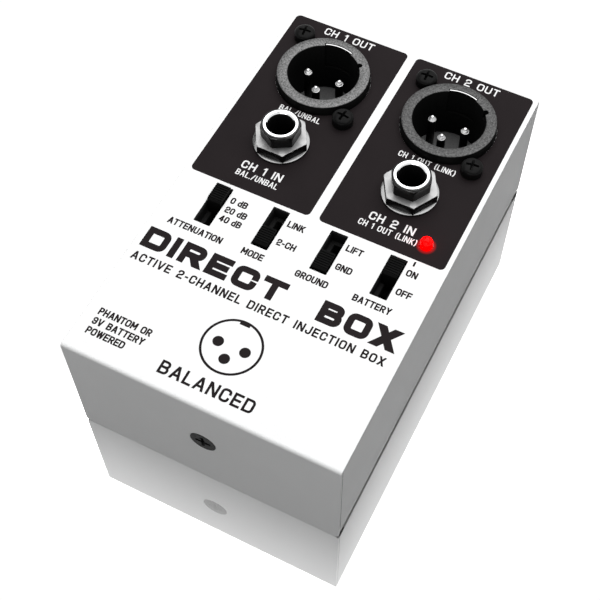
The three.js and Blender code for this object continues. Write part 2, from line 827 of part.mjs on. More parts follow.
function batteryClip() {
  const out = BATTERY_W / 2 + CLIP_T / 2;
  const low = SHEET + CLIP_T / 2;
  const route = [
    [BATTERY_Y - out - 0.6, 18.4],
    [BATTERY_Y - out, 16.5],
    [BATTERY_Y - out, low],
    [BATTERY_Y + out, low],
    [BATTERY_Y + out, 16.5],
    [BATTERY_Y + out + 0.6, 18.4],
  ];
  return alongX(strip(route, CLIP_T), -8, 8);
}

function buildBattery() {
  add("battery", battery(), "battery_jacket");
  add("battery_snap", batterySnap(), "black_plastic");
  add("battery_lead_red", batteryLead(4, 0), "red_wire");
  add("battery_lead_black", batteryLead(-4, 2), "black_wire");
  add("battery_clip", batteryClip(), "steel");
}

function buildCase() {
  add("cover", cover(), "white_steel");
  add("chassis", chassis(), "white_steel");
  for (const [name, end] of [["front", -1], ["back", 1]]) {
    add(`case_screw_${name}`, caseScrew(end), "black_metal");
    add(`clinch_nut_${name}`, clinchNut(end), "steel");
  }
}

buildCase();
buildOutputs();
buildJacks();
buildSwitches();
buildBoard();
buildBattery();

export default group;
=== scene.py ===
"""Looks of the two-channel direct injection box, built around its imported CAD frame.

Shapes are drawn in millimetres in the part's own frame, and piece() turns them into metres.
"""
import json
import math

import bmesh
import bpy
from mathutils import Matrix, Vector
from mathutils.geometry import delaunay_2d_cdt


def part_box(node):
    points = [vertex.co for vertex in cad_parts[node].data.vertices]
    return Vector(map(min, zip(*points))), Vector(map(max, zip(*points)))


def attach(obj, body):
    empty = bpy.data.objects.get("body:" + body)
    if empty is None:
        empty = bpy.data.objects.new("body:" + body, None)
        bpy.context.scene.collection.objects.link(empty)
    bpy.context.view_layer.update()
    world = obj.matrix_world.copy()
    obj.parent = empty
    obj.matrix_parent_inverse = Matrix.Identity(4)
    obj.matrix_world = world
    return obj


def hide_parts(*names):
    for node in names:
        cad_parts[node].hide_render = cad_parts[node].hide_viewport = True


MM = 0.001
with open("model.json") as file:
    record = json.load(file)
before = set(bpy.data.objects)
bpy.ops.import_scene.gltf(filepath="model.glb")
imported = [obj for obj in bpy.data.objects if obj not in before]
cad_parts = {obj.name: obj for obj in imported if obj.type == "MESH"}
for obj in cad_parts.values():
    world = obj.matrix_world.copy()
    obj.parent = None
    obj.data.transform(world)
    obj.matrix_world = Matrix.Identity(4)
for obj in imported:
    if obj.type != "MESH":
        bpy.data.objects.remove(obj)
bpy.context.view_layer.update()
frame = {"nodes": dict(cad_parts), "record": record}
RECORD = frame["record"]
BODIES = {node: body for body, nodes in RECORD["behaviour"]["bodies"].items() for node in nodes}


def corners(node):
    """The lowest and highest corner of a CAD node, in millimetres."""
    low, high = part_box(node)
    return low / MM, high / MM


def middle(node):
    low, high = corners(node)
    return (low + high) / 2


def measure(node):
    """A CAD node's middle in x and y, its lowest and highest z, and half its width in x."""
    low, high = corners(node)
    x, y, _ = middle(node)
    return x, y, low.z, high.z, (high.x - low.x) / 2


CHANNELS = (1, 2)
PINS = (1, 2, 3)
SIDES = ("left", "right")
ENDS = ("front", "back")
SWITCHES = ("attenuation", "mode", "ground", "battery")

# The case, from the frame
COVER_HIGH = corners("cover")[1]
CHASSIS_HIGH = corners("chassis")[1]
PANEL_TOP = COVER_HIGH.z
PANEL_UNDER = CHASSIS_HIGH.z
SHEET = PANEL_TOP - PANEL_UNDER
HALF_W = COVER_HIGH.x
HALF_L = COVER_HIGH.y
CHASSIS_HALF_L = CHASSIS_HIGH.y
COVER_BEND = 1.0
CHASSIS_BEND = 2.0
FOOT_CORNER = 1.25
TAB_HALF_W = 11
TAB_H = 28
# The bend reliefs: how far each reaches in from its side and from its end, and its height
RELIEF = (2.4, 2.6, 1.6)

# Fasteners
CASE_SCREW_HEAD_R = 3.45
CASE_SCREW_SHANK_R = 1.7
CASE_SCREW_L = 8
OUT_SCREW_HEAD_R = 2.8
OUT_SCREW_SHANK_R = 1.4

# Outputs. The latch's pocket and plate are an inner and outer radius, and degrees to either side.
RING_R = 12.3
CUP_R = 9.5
SHELL_R = 11
FLANGE_HALF = 13.7
FLANGE_T = 2.4
NOTCH_R = 0.75
NOTCH_OUT = 9.85
NOTCH_ANGLE = 40
POCKET = (9.1, 10.33, 23.6)
STRIKE = (9.87, 10.2, 22.3)

# Jacks
JACK_HOLE_R = 4.55
BUSHING_RIM_R = 4.4
BUSHING_BORE_R = 3.25
BUSHING_MOUTH_R = 3.82
BUSHING_SLEEVE_R = 3.9
NUT_FLATS = 12.7
NUT_RIM_R = 7

# Switches and lamp
SLOT_HALF_W = 2.225
SLOT_HALF_L = 6.2
LAMP_R = 1.5
LAMP_GLOW = (1.0, 0.0, 0.0)


# ---------------------------------------------------------------- outlines


def arc(x, y, r, start, end, steps=8):
    """Points on a circle about (x, y), from one angle to another in degrees."""
    angles = [math.radians(start + (end - start) * i / steps) for i in range(steps + 1)]
    return [(x + r * math.cos(a), y + r * math.sin(a)) for a in angles]


def circle(r, x=0, y=0, sides=72):
    return arc(x, y, r, 0, 360, sides)[:-1]


def rectangle(x0, x1, y0, y1):
    return [(x0, y0), (x1, y0), (x1, y1), (x0, y1)]


def rounded_rectangle(x0, x1, y0, y1, r, steps=8):
    return (
        arc(x1 - r, y1 - r, r, 0, 90, steps)
        + arc(x0 + r, y1 - r, r, 90, 180, steps)
        + arc(x0 + r, y0 + r, r, 180, 270, steps)
        + arc(x1 - r, y0 + r, r, 270, 360, steps)
    )


def sector(r_in, r_out, spread):
    """Part of a ring about the origin, centred on +Y, spread degrees to either side."""
    start, end = 90 - spread, 90 + spread
    return arc(0, 0, r_out, start, end, 24) + arc(0, 0, r_in, end, start, 24)


def folded_u(half, height, bend):
    """The section of a sheet folded down at both sides, with the given outer bend radius."""
    inner = bend - SHEET
    top = height - bend
    return (
        [(half, 0)]
        + arc(half - bend, top, bend, 0, 90)
        + arc(bend - half, top, bend, 90, 180)
        + [(-half, 0), (SHEET - half, 0)]
        + arc(bend - half, top, inner, 180, 90)
        + arc(half - bend, top, inner, 90, 0)
        + [(half - SHEET, 0)]
    )


# ---------------------------------------------------------------- solids


def loft(sections):
    """A solid through outlines with the same number of points, given as (outline, height) pairs."""
    shape = bmesh.new()
    rings = [[shape.verts.new((x, y, z)) for x, y in outline] for outline, z in sections]
    shape.faces.new(reversed(rings[0]))
    shape.faces.new(rings[-1])
    count = len(rings[0])
    for low, high in zip(rings, rings[1:]):
        for i in range(count):
            j = (i + 1) % count
            shape.faces.new((low[i], low[j], high[j], high[i]))
    bmesh.ops.recalc_face_normals(shape, faces=shape.faces)
    return shape


def prism(outline, low, high):
    return loft([(outline, low), (outline, high)])


def block(x0, x1, y0, y1, z0, z1):
    return prism(rectangle(x0, x1, y0, y1), z0, z1)


def spun(shape, profile, sides):
    """Rings of new vertices about Z, one for each [radius, height] pair. A ring on the axis is one vertex."""
    rings = []
    for r, z in profile:
        points = circle(r, sides=sides) if r > 0 else [(0, 0)]
        rings.append([shape.verts.new((x, y, z)) for x, y in points])
    return rings


def lathe(profile, sides=72):
    """A solid of revolution about Z from [radius, height] pairs, closed on the axis or on itself."""
    shape = bmesh.new()
    rings = spun(shape, profile, sides)
    if profile[0][0] > 0:
        rings.append(rings[0])
    for low, high in zip(rings, rings[1:]):
        for i in range(sides):
            j = (i + 1) % sides
            around = [low[i % len(low)], low[j % len(low)], high[j % len(high)], high[i % len(high)]]
            face = list(dict.fromkeys(around))
            if len(face) > 2:
                shape.faces.new(face)
    bmesh.ops.recalc_face_normals(shape, faces=shape.faces)
    return shape


def moved(shape, x=0, y=0, z=0):
    shape.transform(Matrix.Translation((x, y, z)))
    return shape


def turned(shape, degrees, axis):
    shape.transform(Matrix.Rotation(math.radians(degrees), 4, axis))
    return shape


def along_x(shape):
    """Lays a solid drawn upright so that its own x, y and z become Y, Z and X."""
    shape.transform(Matrix(((0, 0, 1, 0), (1, 0, 0, 0), (0, 1, 0, 0), (0, 0, 0, 1))))
    return shape


def along_y(shape):
    """Lays a solid drawn upright so that its own y becomes Z, and its z becomes -Y."""
    return turned(shape, 90, "X")


def mesh_of(shape, name):
    """A named mesh of the solid, which is used up."""
    mesh = bpy.data.meshes.new(name)
    shape.to_mesh(mesh)
    shape.free()
    return mesh


def linked(name, data):
    """A new object in the scene."""
    made = bpy.data.objects.new(name, data)
    bpy.context.scene.collection.objects.link(made)
    return made


def together(*shapes):
    """One mesh that holds several solids."""
    whole = bmesh.new()
    for shape in shapes:
        mesh = mesh_of(shape, "part")
        whole.from_mesh(mesh)
        bpy.data.meshes.remove(mesh)
    return whole


def boolean(shape, tool, operation):
    """A new solid from two, which are used up. Corners that it leaves doubled are merged."""
    base, other = (linked("operand", mesh_of(solid, "operand")) for solid in (shape, tool))
    modifier = base.modifiers.new("boolean", "BOOLEAN")
    modifier.object = other
    modifier.operation = operation
    modifier.solver = "EXACT"
    modifier.use_self = True
    result = bmesh.new()
    result.from_object(base, bpy.context.evaluated_depsgraph_get())
    for thing in (base, other):
        mesh = thing.data
        bpy.data.objects.remove(thing)
        bpy.data.meshes.remove(mesh)
    bmesh.ops.remove_doubles(result, verts=result.verts, dist=0.0005)
    return result


def cut(shape, *tools):
    return boolean(shape, together(*tools), "DIFFERENCE")


def joined(shape, *tools):
    for tool in tools:
        shape = boolean(shape, tool, "UNION")
    return shape


def common(shape, tool):
    return boolean(shape, tool, "INTERSECT")


def flat_solid(filled, cleared, low, high):
    """A thin solid over the union of the filled outlines, less the cleared ones.

    An outline so thin that the triangulation spills out of it is left out.
    """
    outlines = [ccw(outline) for outline in filled + cleared]
    points = [Vector(point) for outline in outlines for point in outline]
    loops, start = [], 0
    for outline in outlines:
        loops.append(list(range(start, start + len(outline))))
        start += len(outline)
    spots, _, faces, _, _, sources = delaunay_2d_cdt(points, [], loops, 1, 1e-5)
    covered = [0.0] * len(outlines)
    for face, source in zip(faces, sources):
        for i in source:
            covered[i] += area([spots[j] for j in face])
    sound = {i for i, outline in enumerate(outlines) if covered[i] < 1.2 * area(outline) + 0.001}
    shape = bmesh.new()
    verts = [shape.verts.new((x, y, low)) for x, y in spots]
    for face, source in zip(faces, sources):
        within = sound.intersection(source)
        if within and max(within) < len(filled):
            shape.faces.new([verts[i] for i in face])
    loose = [vert for vert in shape.verts if not vert.link_faces]
    bmesh.ops.delete(shape, geom=loose, context="VERTS")
    bmesh.ops.dissolve_limit(shape, angle_limit=0.001, verts=shape.verts[:], edges=shape.edges[:])
    grown = bmesh.ops.extrude_face_region(shape, geom=shape.faces[:], use_keep_orig=True)
    for item in grown["geom"]:
        if isinstance(item, bmesh.types.BMVert):
            item.co.z = high
    bmesh.ops.recalc_face_normals(shape, faces=shape.faces)
    return shape


def area(outline):
    """The outline's area, which is negative if it runs clockwise."""
    pairs = zip(outline, outline[1:] + outline[:1])
    return sum(a[0] * b[1] - b[0] * a[1] for a, b in pairs) / 2


def ccw(outline):
    """The outline, turned if need be to run anticlockwise."""
    return outline if area(outline) > 0 else outline[::-1]


# ---------------------------------------------------------------- materials


class Nodes:
    """A node material of metres in object space, with shorthand for its nodes."""

    def __init__(self, name):
        self.material = bpy.data.materials.new(name)
        self.material.use_nodes = True
        self.tree = self.material.node_tree
        self.shader = self.tree.nodes["Principled BSDF"]
        self.place = self.node("TexCoord").outputs["Object"]

    def node(self, kind, *values, **settings):
        """Adds a node; values fill its inputs in order, as numbers or as sockets to link."""
        made = self.tree.nodes.new("ShaderNode" + kind)
        for label, value in settings.items():
            setattr(made, label, value)
        for socket, value in zip(made.inputs, values):
            self.fill(socket, value)
        return made

    def fill(self, socket, value):
        if isinstance(value, bpy.types.NodeSocket):
            self.tree.links.new(value, socket)
        else:
            socket.default_value = value

    def drive(self, label, value):
        self.fill(self.shader.inputs[label], value)

    def noise(self, size_mm, detail=3.0, stretch=(1, 1, 1)):
        """A noise value whose lumps are about size_mm across, drawn out along the axes."""
        shares = tuple(1 / s for s in stretch)
        scaled = self.node("VectorMath", self.place, shares, operation="MULTIPLY")
        made = self.node("TexNoise", scaled.outputs[0])
        made.inputs["Scale"].default_value = 1 / (size_mm * MM)
        made.inputs["Detail"].default_value = detail
        return made.outputs[0]

    def between(self, value, low, high, to_low, to_high, **settings):
        return self.node("MapRange", value, low, high, to_low, to_high, **settings).outputs[0]

    def swing(self, value, to_low, to_high):
        """A noise value's usual swing, spread from to_low to to_high."""
        return self.between(value, 0.3, 0.7, to_low, to_high)

    def math(self, operation, *values):
        return self.node("Math", *values, operation=operation).outputs[0]

    def mix(self, factor, a, b):
        made = self.node("Mix", data_type="RGBA")
        for i, value in ((0, factor), (6, a), (7, b)):
            self.fill(made.inputs[i], value)
        return made.outputs[2]

    def edges(self, width_mm):
        """1 along edges and 0 on flats, from how far the surface turns within that width."""
        rounded = self.node("Bevel", width_mm * MM, samples=6).outputs[0]
        own = self.node("NewGeometry").outputs["Normal"]
        along = self.node("VectorMath", rounded, own, operation="DOT_PRODUCT").outputs["Value"]
        return self.between(along, 0.995, 0.86, 0.0, 1.0)

    def raised(self, height, distance_mm):
        """A normal bumped by the height."""
        made = self.node("Bump")
        made.inputs["Distance"].default_value = distance_mm * MM
        self.fill(made.inputs["Height"], height)
        return made.outputs[0]


def tone(colour, factor=1.0):
    """An opaque colour made lighter or darker. A single number is a grey."""
    parts = colour if isinstance(colour, tuple) else (colour,) * 3
    return tuple(min(1.0, part * factor) for part in parts) + (1.0,)


def finish(
    name, colour, roughness, metallic=0.0, drift=0.05, patch=9.0, grain=0.35, bump=0.01, uneven=0.06,
    worn=None, wear=0.5, stretch=(1, 1, 1), specular=0.5, coat=0.0, lighting=None,
):
    """A finish whose colour drifts by that share over patches, with grain in the bump and worn edges.

    patch, grain and bump are millimetres, worn is the colour that edges wear to, and lighting adds a glow.
    """
    look = Nodes(name)
    for label, value in (("Metallic", metallic), ("Specular IOR Level", specular), ("Coat Weight", coat)):
        look.drive(label, value)
    broad = look.noise(patch)
    fine = look.noise(grain, 4.0, stretch)
    cloud = look.swing(broad, 0.0, 1.0)
    base = look.mix(cloud, tone(colour, 1 - drift), tone(colour, 1 + drift))
    if worn:
        patchy = look.between(look.noise(0.8), 0.42, 0.62, 0.0, wear)
        rubbed = look.math("MULTIPLY", look.edges(0.16), patchy)
        base = look.mix(rubbed, base, tone(worn))
    look.drive("Base Color", base)
    look.drive("Roughness", look.swing(fine, max(0.02, roughness - uneven), min(1.0, roughness + uneven)))
    look.drive("Normal", look.raised(fine, bump))
    if lighting:
        lighting(look)
    return look.material


def lamp_finish():
    """The lit lens, whose patchy red glow grows with height above the panel."""
    look = Nodes("lit_red")
    look.drive("Emission Color", tone(LAMP_GLOW))
    look.drive("Specular IOR Level", 0.1)
    patchy = look.swing(look.noise(0.6), 4.8, 7.2)
    height = look.node("SeparateXYZ", look.place).outputs[2]
    risen = look.between(height, (PANEL_TOP - 0.2) * MM, (PANEL_TOP + 1.3) * MM, 0.08, 1.0)
    look.drive("Base Color", look.mix(look.noise(0.5), tone(LAMP_GLOW, 0.7), tone(LAMP_GLOW)))
    look.drive("Emission Strength", look.math("MULTIPLY", patchy, risen))
    look.drive("Roughness", look.swing(look.noise(0.4), 0.2, 0.4))
    return look.material


def lamp_halo(look):
    """The lamp's soft red glow on the ink close round it."""
    lamp = middle("lamp")
    spot = (lamp.x * MM, lamp.y * MM, PANEL_TOP * MM)
    span = look.node("VectorMath", look.place, spot, operation="DISTANCE").outputs["Value"]
    start, end = (LAMP_R + 0.1) * MM, (LAMP_R + 1.2) * MM
    strength = look.between(span, start, end, 0.55, 0.0, interpolation_type="SMOOTHSTEP")
    look.drive("Emission Color", tone(LAMP_GLOW))
    look.drive("Emission Strength", strength)


def board_finish():
    """Green solder mask over traces that stand slightly proud."""
    look = Nodes("solder_mask")
    cells = look.node("TexBrick", look.place)
    cells.inputs["Scale"].default_value = 1 / (11 * MM)
    cells.inputs["Mortar Size"].default_value = 0.035
    cells.inputs["Mortar Smooth"].default_value = 0.1
    trace = cells.outputs["Fac"]
    mask = look.mix(look.noise(6), tone((0.012, 0.10, 0.045)), tone((0.018, 0.13, 0.06)))
    look.drive("Base Color", look.mix(trace, mask, tone((0.03, 0.22, 0.10))))
    look.drive("Roughness", look.swing(look.noise(0.5), 0.28, 0.45))
    look.drive("Normal", look.raised(trace, 0.04))
    return look.material


# Case and print
PAINT = finish(
    "powder_coat", (0.82, 0.825, 0.825), 0.5, drift=0.012, patch=14, grain=0.4, bump=0.075, uneven=0.05,
    worn=(0.62, 0.62, 0.61), wear=0.35, specular=0.05,
)
# Partly painted shade: bare steel inside the case, drawn much darker than bare steel, for the shade in the
# seams, slots, reliefs and hole walls.
BARE_INSIDE_PAINTED_SHADE = finish("bare_inside_painted_shade", 0.05, 0.5, 0.3, drift=0.1, grain=0.3, bump=0.005)
BLACK_INK = finish(
    "black_ink", (0.0141, 0.011, 0.0118), 0.6, drift=0.06, grain=0.3, bump=0.004, specular=0.04,
    lighting=lamp_halo,
)
WHITE_INK = finish("white_ink", 0.8, 0.55, drift=0.02, grain=0.3, bump=0.004, specular=0.2)

# Cast and moulded parts. The output rings' top faces are a grey metal, a lit copy of the black shell standing
# for the light they reflect, and the second channel's ring is painted darker than the first's, as painted
# shade.
RING_FACES_PAINTED_LIGHT = {
    channel: finish(
        f"cast_ring_painted_light_{channel}", grey, 0.42, 0.85, drift=0.7, patch=0.42, grain=0.3, bump=0.03,
        worn=grey * 1.5, wear=0.4,
    )
    for channel, grey in ((1, 0.1), (2, 0.055))
}
SHELL_BLACK = finish("cast_shell", 0.004, 0.5, grain=0.3, bump=0.006, specular=0.08)
KNOB_BLACK = finish(
    "moulded_black", 0.003, 0.55, drift=0.12, grain=0.18, bump=0.006, worn=0.009, specular=0.04
)
WELL_BLACK = finish("well_black", 0.014, 0.55, drift=0.12, grain=0.2, bump=0.006, specular=0.08)
INNER_BLACK = finish("inner_black", 0.02, 0.6, drift=0.1, grain=0.25, bump=0.006, specular=0.2)
# Painted light: the black plastic insert is drawn grey, for the light that falls on the cup's floor.
INSERT_PAINTED_LIGHT = finish("insert_painted_light", 0.09, 0.6, drift=0.12, patch=0.4, grain=0.25, specular=0.2)

# Metal
SCREW_BLACK = finish(
    "black_oxide", 0.006, 0.32, drift=0.15, grain=0.2, bump=0.004, worn=0.03, specular=0.05
)
# Painted shade: the jack bushings' plated bore is drawn black below its mouth.
BORE_PAINTED_SHADE = finish("bore_painted_shade", 0.004, 0.5, grain=0.3, specular=0.1)
GLOSS_BLACK = finish(
    "gloss_black", 0.006, 0.2, drift=0.1, grain=0.3, bump=0.001, uneven=0.03, specular=0.04
)
# Painted highlight: a dark metal given only to the upward faces of the jack heads' shoulders, whose sides are
# glossy black.
SHOULDER_PAINTED_HIGHLIGHT = finish("shoulder_painted_highlight", 0.045, 0.22, 1.0, grain=0.3, bump=0.001, uneven=0.04)
# Painted shade: the pins' stems are a near-black metal, for the shade and dark reflections in the cup.
PIN_STEM_PAINTED_SHADE = finish("pin_stem_painted_shade", 0.05, 0.3, 1.0, drift=0.06, grain=0.2, bump=0.001)
PIN_CAP = finish("pin_cap", 0.85, 0.38, 1.0, drift=0.02, grain=0.3, bump=0.0006, uneven=0.04)
STRIKE_STEEL = finish("strike_steel", 0.4, 0.18, 1.0, drift=0.04, grain=0.2, bump=0.001)
CHROME = finish("chrome", (0.80, 0.81, 0.82), 0.10, 1.0, drift=0.02, grain=0.5, bump=0.0006, uneven=0.03)
NICKEL = finish(
    "nickel", 0.19, 0.2, 1.0, patch=3, grain=0.25, bump=0.002, uneven=0.05, worn=0.35, wear=0.8
)
# Painted light and shade: one nickel nut, drawn as a lighter copy on its top and a near-black copy on its
# sides.
NUT_TOP_PAINTED_LIGHT = finish(
    "nut_top_painted_light", 0.33, 0.5, 1.0, patch=3, grain=0.25, bump=0.002, uneven=0.05, worn=0.45, wear=0.6
)
NUT_SIDES_PAINTED_SHADE = finish("nut_sides_painted_shade", 0.05, 0.25, 1.0, grain=0.25, bump=0.002, uneven=0.05, worn=0.35, wear=0.8)
STEEL = finish(
    "plated_steel", (0.45, 0.46, 0.47), 0.36, 1.0, drift=0.06, grain=0.12, bump=0.003,
    stretch=(8, 1, 1), worn=0.6,
)
CONTACT = finish("contact_alloy", (0.62, 0.45, 0.16), 0.3, 1.0, drift=0.06, grain=0.2, bump=0.002)
TIN = finish("tinned_lead", 0.6, 0.35, 1.0, drift=0.06, grain=0.25, bump=0.004)
COPPER = finish("copper_band", (0.42, 0.19, 0.08), 0.32, 0.8, drift=0.08, grain=0.3, bump=0.003)

# Inside and lamp
SLEEVE = finish("sleeve", (0.012, 0.03, 0.10), 0.3, drift=0.08, grain=0.4, bump=0.004, coat=0.3)
SLEEVE_STRIPE = finish("sleeve_stripe", (0.6, 0.62, 0.65), 0.35, grain=0.4, bump=0.004)
LACQUER = finish("lacquer", (0.45, 0.30, 0.15), 0.4, drift=0.08, grain=0.3, bump=0.006)
JACKET = finish(
    "battery_jacket", (0.03, 0.032, 0.036), 0.35, 0.5, drift=0.08, grain=0.4, bump=0.003, worn=0.2
)
WIRES = {
    "red": finish("red_wire", (0.45, 0.02, 0.015), 0.45, grain=0.4),
    "black": finish("black_wire", 0.02, 0.45, grain=0.4),
}
BANDS = tuple(
    finish(f"band_{name}", colour, 0.4, grain=0.3)
    for name, colour in (
        ("brown", (0.10, 0.035, 0.012)), ("red", (0.40, 0.02, 0.012)), ("gold", (0.40, 0.25, 0.06))
    )
)
LAMP_RED = lamp_finish()
BOARD = board_finish()


# ---------------------------------------------------------------- pieces


def smooth(shape, degrees):
    """Shades every face smooth, and marks as sharp the edges that turn by more than this."""
    for face in shape.faces:
        face.smooth = True
    limit = math.radians(degrees)
    for edge in shape.edges:
        edge.smooth = len(edge.link_faces) == 2 and edge.calc_face_angle(0) < limit


def piece(name, shape, finishes, body="box", edge=0.08, segments=2, degrees=32, pick=None):
    """Makes a piece from a solid in millimetres. edge is its bevel's width.

    pick gives each face's place in the list of finishes, from its centre and normal.
    """
    smooth(shape, degrees)
    if pick:
        for face in shape.faces:
            face.material_index = pick(face.calc_center_median(), face.normal)
    shape.transform(Matrix.Scale(MM, 4))
    made = linked(name, mesh_of(shape, name))
    for material in finishes if isinstance(finishes, tuple) else (finishes,):
        made.data.materials.append(material)
    if edge:
        bevel = made.modifiers.new("bevel", "BEVEL")
        bevel.width = edge * MM
        bevel.segments = segments
        bevel.limit_method = "ANGLE"
        bevel.angle_limit = math.radians(degrees)
        bevel.use_clamp_overlap = True
        bevel.harden_normals = True
    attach(made, body)
    return made


def stands_for(node, shape, finishes, **settings):
    """The finished piece that takes a CAD node's place."""
    made = piece(node + "_finished", shape, finishes, BODIES[node], **settings)
    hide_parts(node)
    return made


def cad_copy(node):
    """A CAD node's solid in millimetres, with its flat faces whole again."""
    shape = bmesh.new()
    shape.from_mesh(frame["nodes"][node].data)
    shape.transform(Matrix.Scale(1 / MM, 4))
    bmesh.ops.remove_doubles(shape, verts=shape.verts, dist=0.001)
    bmesh.ops.dissolve_limit(shape, angle_limit=0.02, verts=shape.verts[:], edges=shape.edges[:])
    return shape


def dress(node, finishes, **settings):
    """Finishes a CAD node whose own shape needs only its bevel and materials."""
    stands_for(node, cad_copy(node), finishes, **settings)


# ---------------------------------------------------------------- case


def hole_outlines(spare=0.0):
    """The cover's round holes, grown by spare."""
    holes = []
    for channel in CHANNELS:
        shell = middle(f"output_shell_{channel}")
        jack = middle(f"jack_bushing_{channel}")
        holes.append(circle(RING_R + 0.3 + spare, shell.x, shell.y, 96))
        holes.append(circle(JACK_HOLE_R + spare, jack.x, jack.y))
        for side in SIDES:
            screw = middle(f"output_screw_{channel}_{side}")
            holes.append(circle(OUT_SCREW_SHANK_R + 0.2 + spare, screw.x, screw.y, 32))
    lamp = middle("lamp")
    holes.append(circle(LAMP_R + 0.2 + spare, lamp.x, lamp.y, 40))
    return holes


def foot_corners():
    """Cutters that round the lower corners of the end walls."""
    r = FOOT_CORNER
    right = [(HALF_W + 1, -1), (HALF_W + 1, r)] + arc(HALF_W - r, r, r, 0, -90) + [(HALF_W - r, -1)]
    left = [(-x, y) for x, y in reversed(right)]
    return [along_y(prism(outline, -2 * HALF_L, 2 * HALF_L)) for outline in (left, right)]


def facing(shape, node):
    """Turns a solid drawn with its head at z = 0, facing up, to its screw's place in an end wall."""
    place = middle(node)
    end = math.copysign(1, place.y)
    turned(shape, -90 * end, "X")
    return moved(shape, place.x, end * HALF_L, place.z)


def screw_holes():
    """The countersunk holes through both sheets."""
    r = CASE_SCREW_HEAD_R + 0.15
    depth = 2 * SHEET + 0.1
    profile = [(0, 1), (r + 1, 1), (r - depth, -depth), (r - depth, -depth - 1), (0, -depth - 1)]
    return [facing(lathe(profile, 64), f"case_screw_{end}") for end in ENDS]


def painted(outward, normal):
    """0 for a face on the side of the sheet that the paint is on, and 1 for its bare side, whose near-black
    finish also paints in the shade inside the case.
    """
    return 0 if outward.length > 0 and outward.normalized().dot(normal) > 0.3 else 1


def build_cover():
    folded = along_x(prism(folded_u(HALF_L, PANEL_TOP, COVER_BEND), -HALF_W, HALF_W))
    outlines = hole_outlines()
    for name in SWITCHES:
        x, y = middle(f"{name}_switch_housing").xy
        sides = (x - SLOT_HALF_W, x + SLOT_HALF_W, y - SLOT_HALF_L, y + SLOT_HALF_L)
        outlines.append(rounded_rectangle(*sides, 0.15, 3))
    holes = [prism(outline, PANEL_UNDER - 1, PANEL_TOP + 1) for outline in outlines]
    shape = cut(folded, *holes, *foot_corners(), *screw_holes())

    def pick(centre, normal):
        if abs(centre.x) > HALF_W - 0.01 or centre.z < FOOT_CORNER:
            return 0
        inner_y = max(-HALF_L + COVER_BEND, min(HALF_L - COVER_BEND, centre.y))
        above = centre.z - min(centre.z, PANEL_TOP - COVER_BEND)
        return painted(Vector((0, centre.y - inner_y, above)), normal)

    stands_for("cover", shape, (PAINT, BARE_INSIDE_PAINTED_SHADE), edge=0.1, segments=3, pick=pick)


def build_chassis():
    end = CHASSIS_HALF_L
    folded = along_y(prism(folded_u(HALF_W, PANEL_UNDER, CHASSIS_BEND), -end, end))
    moved(turned(folded, 180, "Y"), z=PANEL_UNDER)
    inset, reach, height = RELIEF
    tabs, reliefs = [], []
    for side in (-1, 1):
        tabs.append(block(-TAB_HALF_W, TAB_HALF_W, *sorted((side * end, side * (end - SHEET))), 0, TAB_H))
        along = sorted((side * (end - reach), side * (end + 1)))
        for hand in (-1, 1):
            across = sorted((hand * (HALF_W - inset), hand * (HALF_W + 1)))
            reliefs.append(block(*across, *along, -1, height))
    shape = cut(joined(folded, *tabs), *reliefs, *screw_holes())

    def pick(centre, normal):
        if centre.z < height + 0.01 and abs(centre.y) > end - reach - 0.01:
            return 1
        inner_x = max(-HALF_W + CHASSIS_BEND, min(HALF_W - CHASSIS_BEND, centre.x))
        return painted(Vector((centre.x - inner_x, 0, min(0, centre.z - CHASSIS_BEND))), normal)

    stands_for("chassis", shape, (PAINT, BARE_INSIDE_PAINTED_SHADE), edge=0.1, pick=pick)


def cross_cutter(reach, width, top, depth):
    """A cross recess that narrows towards its floor."""
    def arms(share):
        a, b = reach * share, width / 2 * share
        return [(a, -b), (a, b), (b, b), (b, a), (-b, a), (-b, b),
                (-a, b), (-a, -b), (-b, -b), (-b, -a), (b, -a), (b, -b)]

    slope, rise = 0.45, 0.5
    over = 1 + (1 - slope) * rise / depth
    return loft([(arms(slope), top - depth), (arms(over), top + rise)])


def build_case_screw(end):
    node = f"case_screw_{end}"
    head, shank, length = CASE_SCREW_HEAD_R, CASE_SCREW_SHANK_R, CASE_SCREW_L
    profile = [
        (0, -length), (shank - 0.5, -length), (shank, -length + 0.5), (shank, shank - head),
        (head, -0.12), (head, 0), (0, 0),
    ]
    screw = cut(lathe(profile, 64), cross_cutter(2.1, 0.9, 0, 1.4))
    stands_for(node, facing(screw, node), SCREW_BLACK, edge=0.06)
    nut = f"clinch_nut_{end}"
    low, high = corners(nut)
    r, height = (high.x - low.x) / 2, high.y - low.y
    near = -2 * SHEET - 0.1
    far = near - height
    ring = [(shank + 0.1, near), (r, near), (r, near - height * 0.7), (r - 0.6, far), (shank + 0.1, far)]
    stands_for(nut, facing(lathe(ring, 48), node), STEEL, edge=0.12)


# ---------------------------------------------------------------- outputs


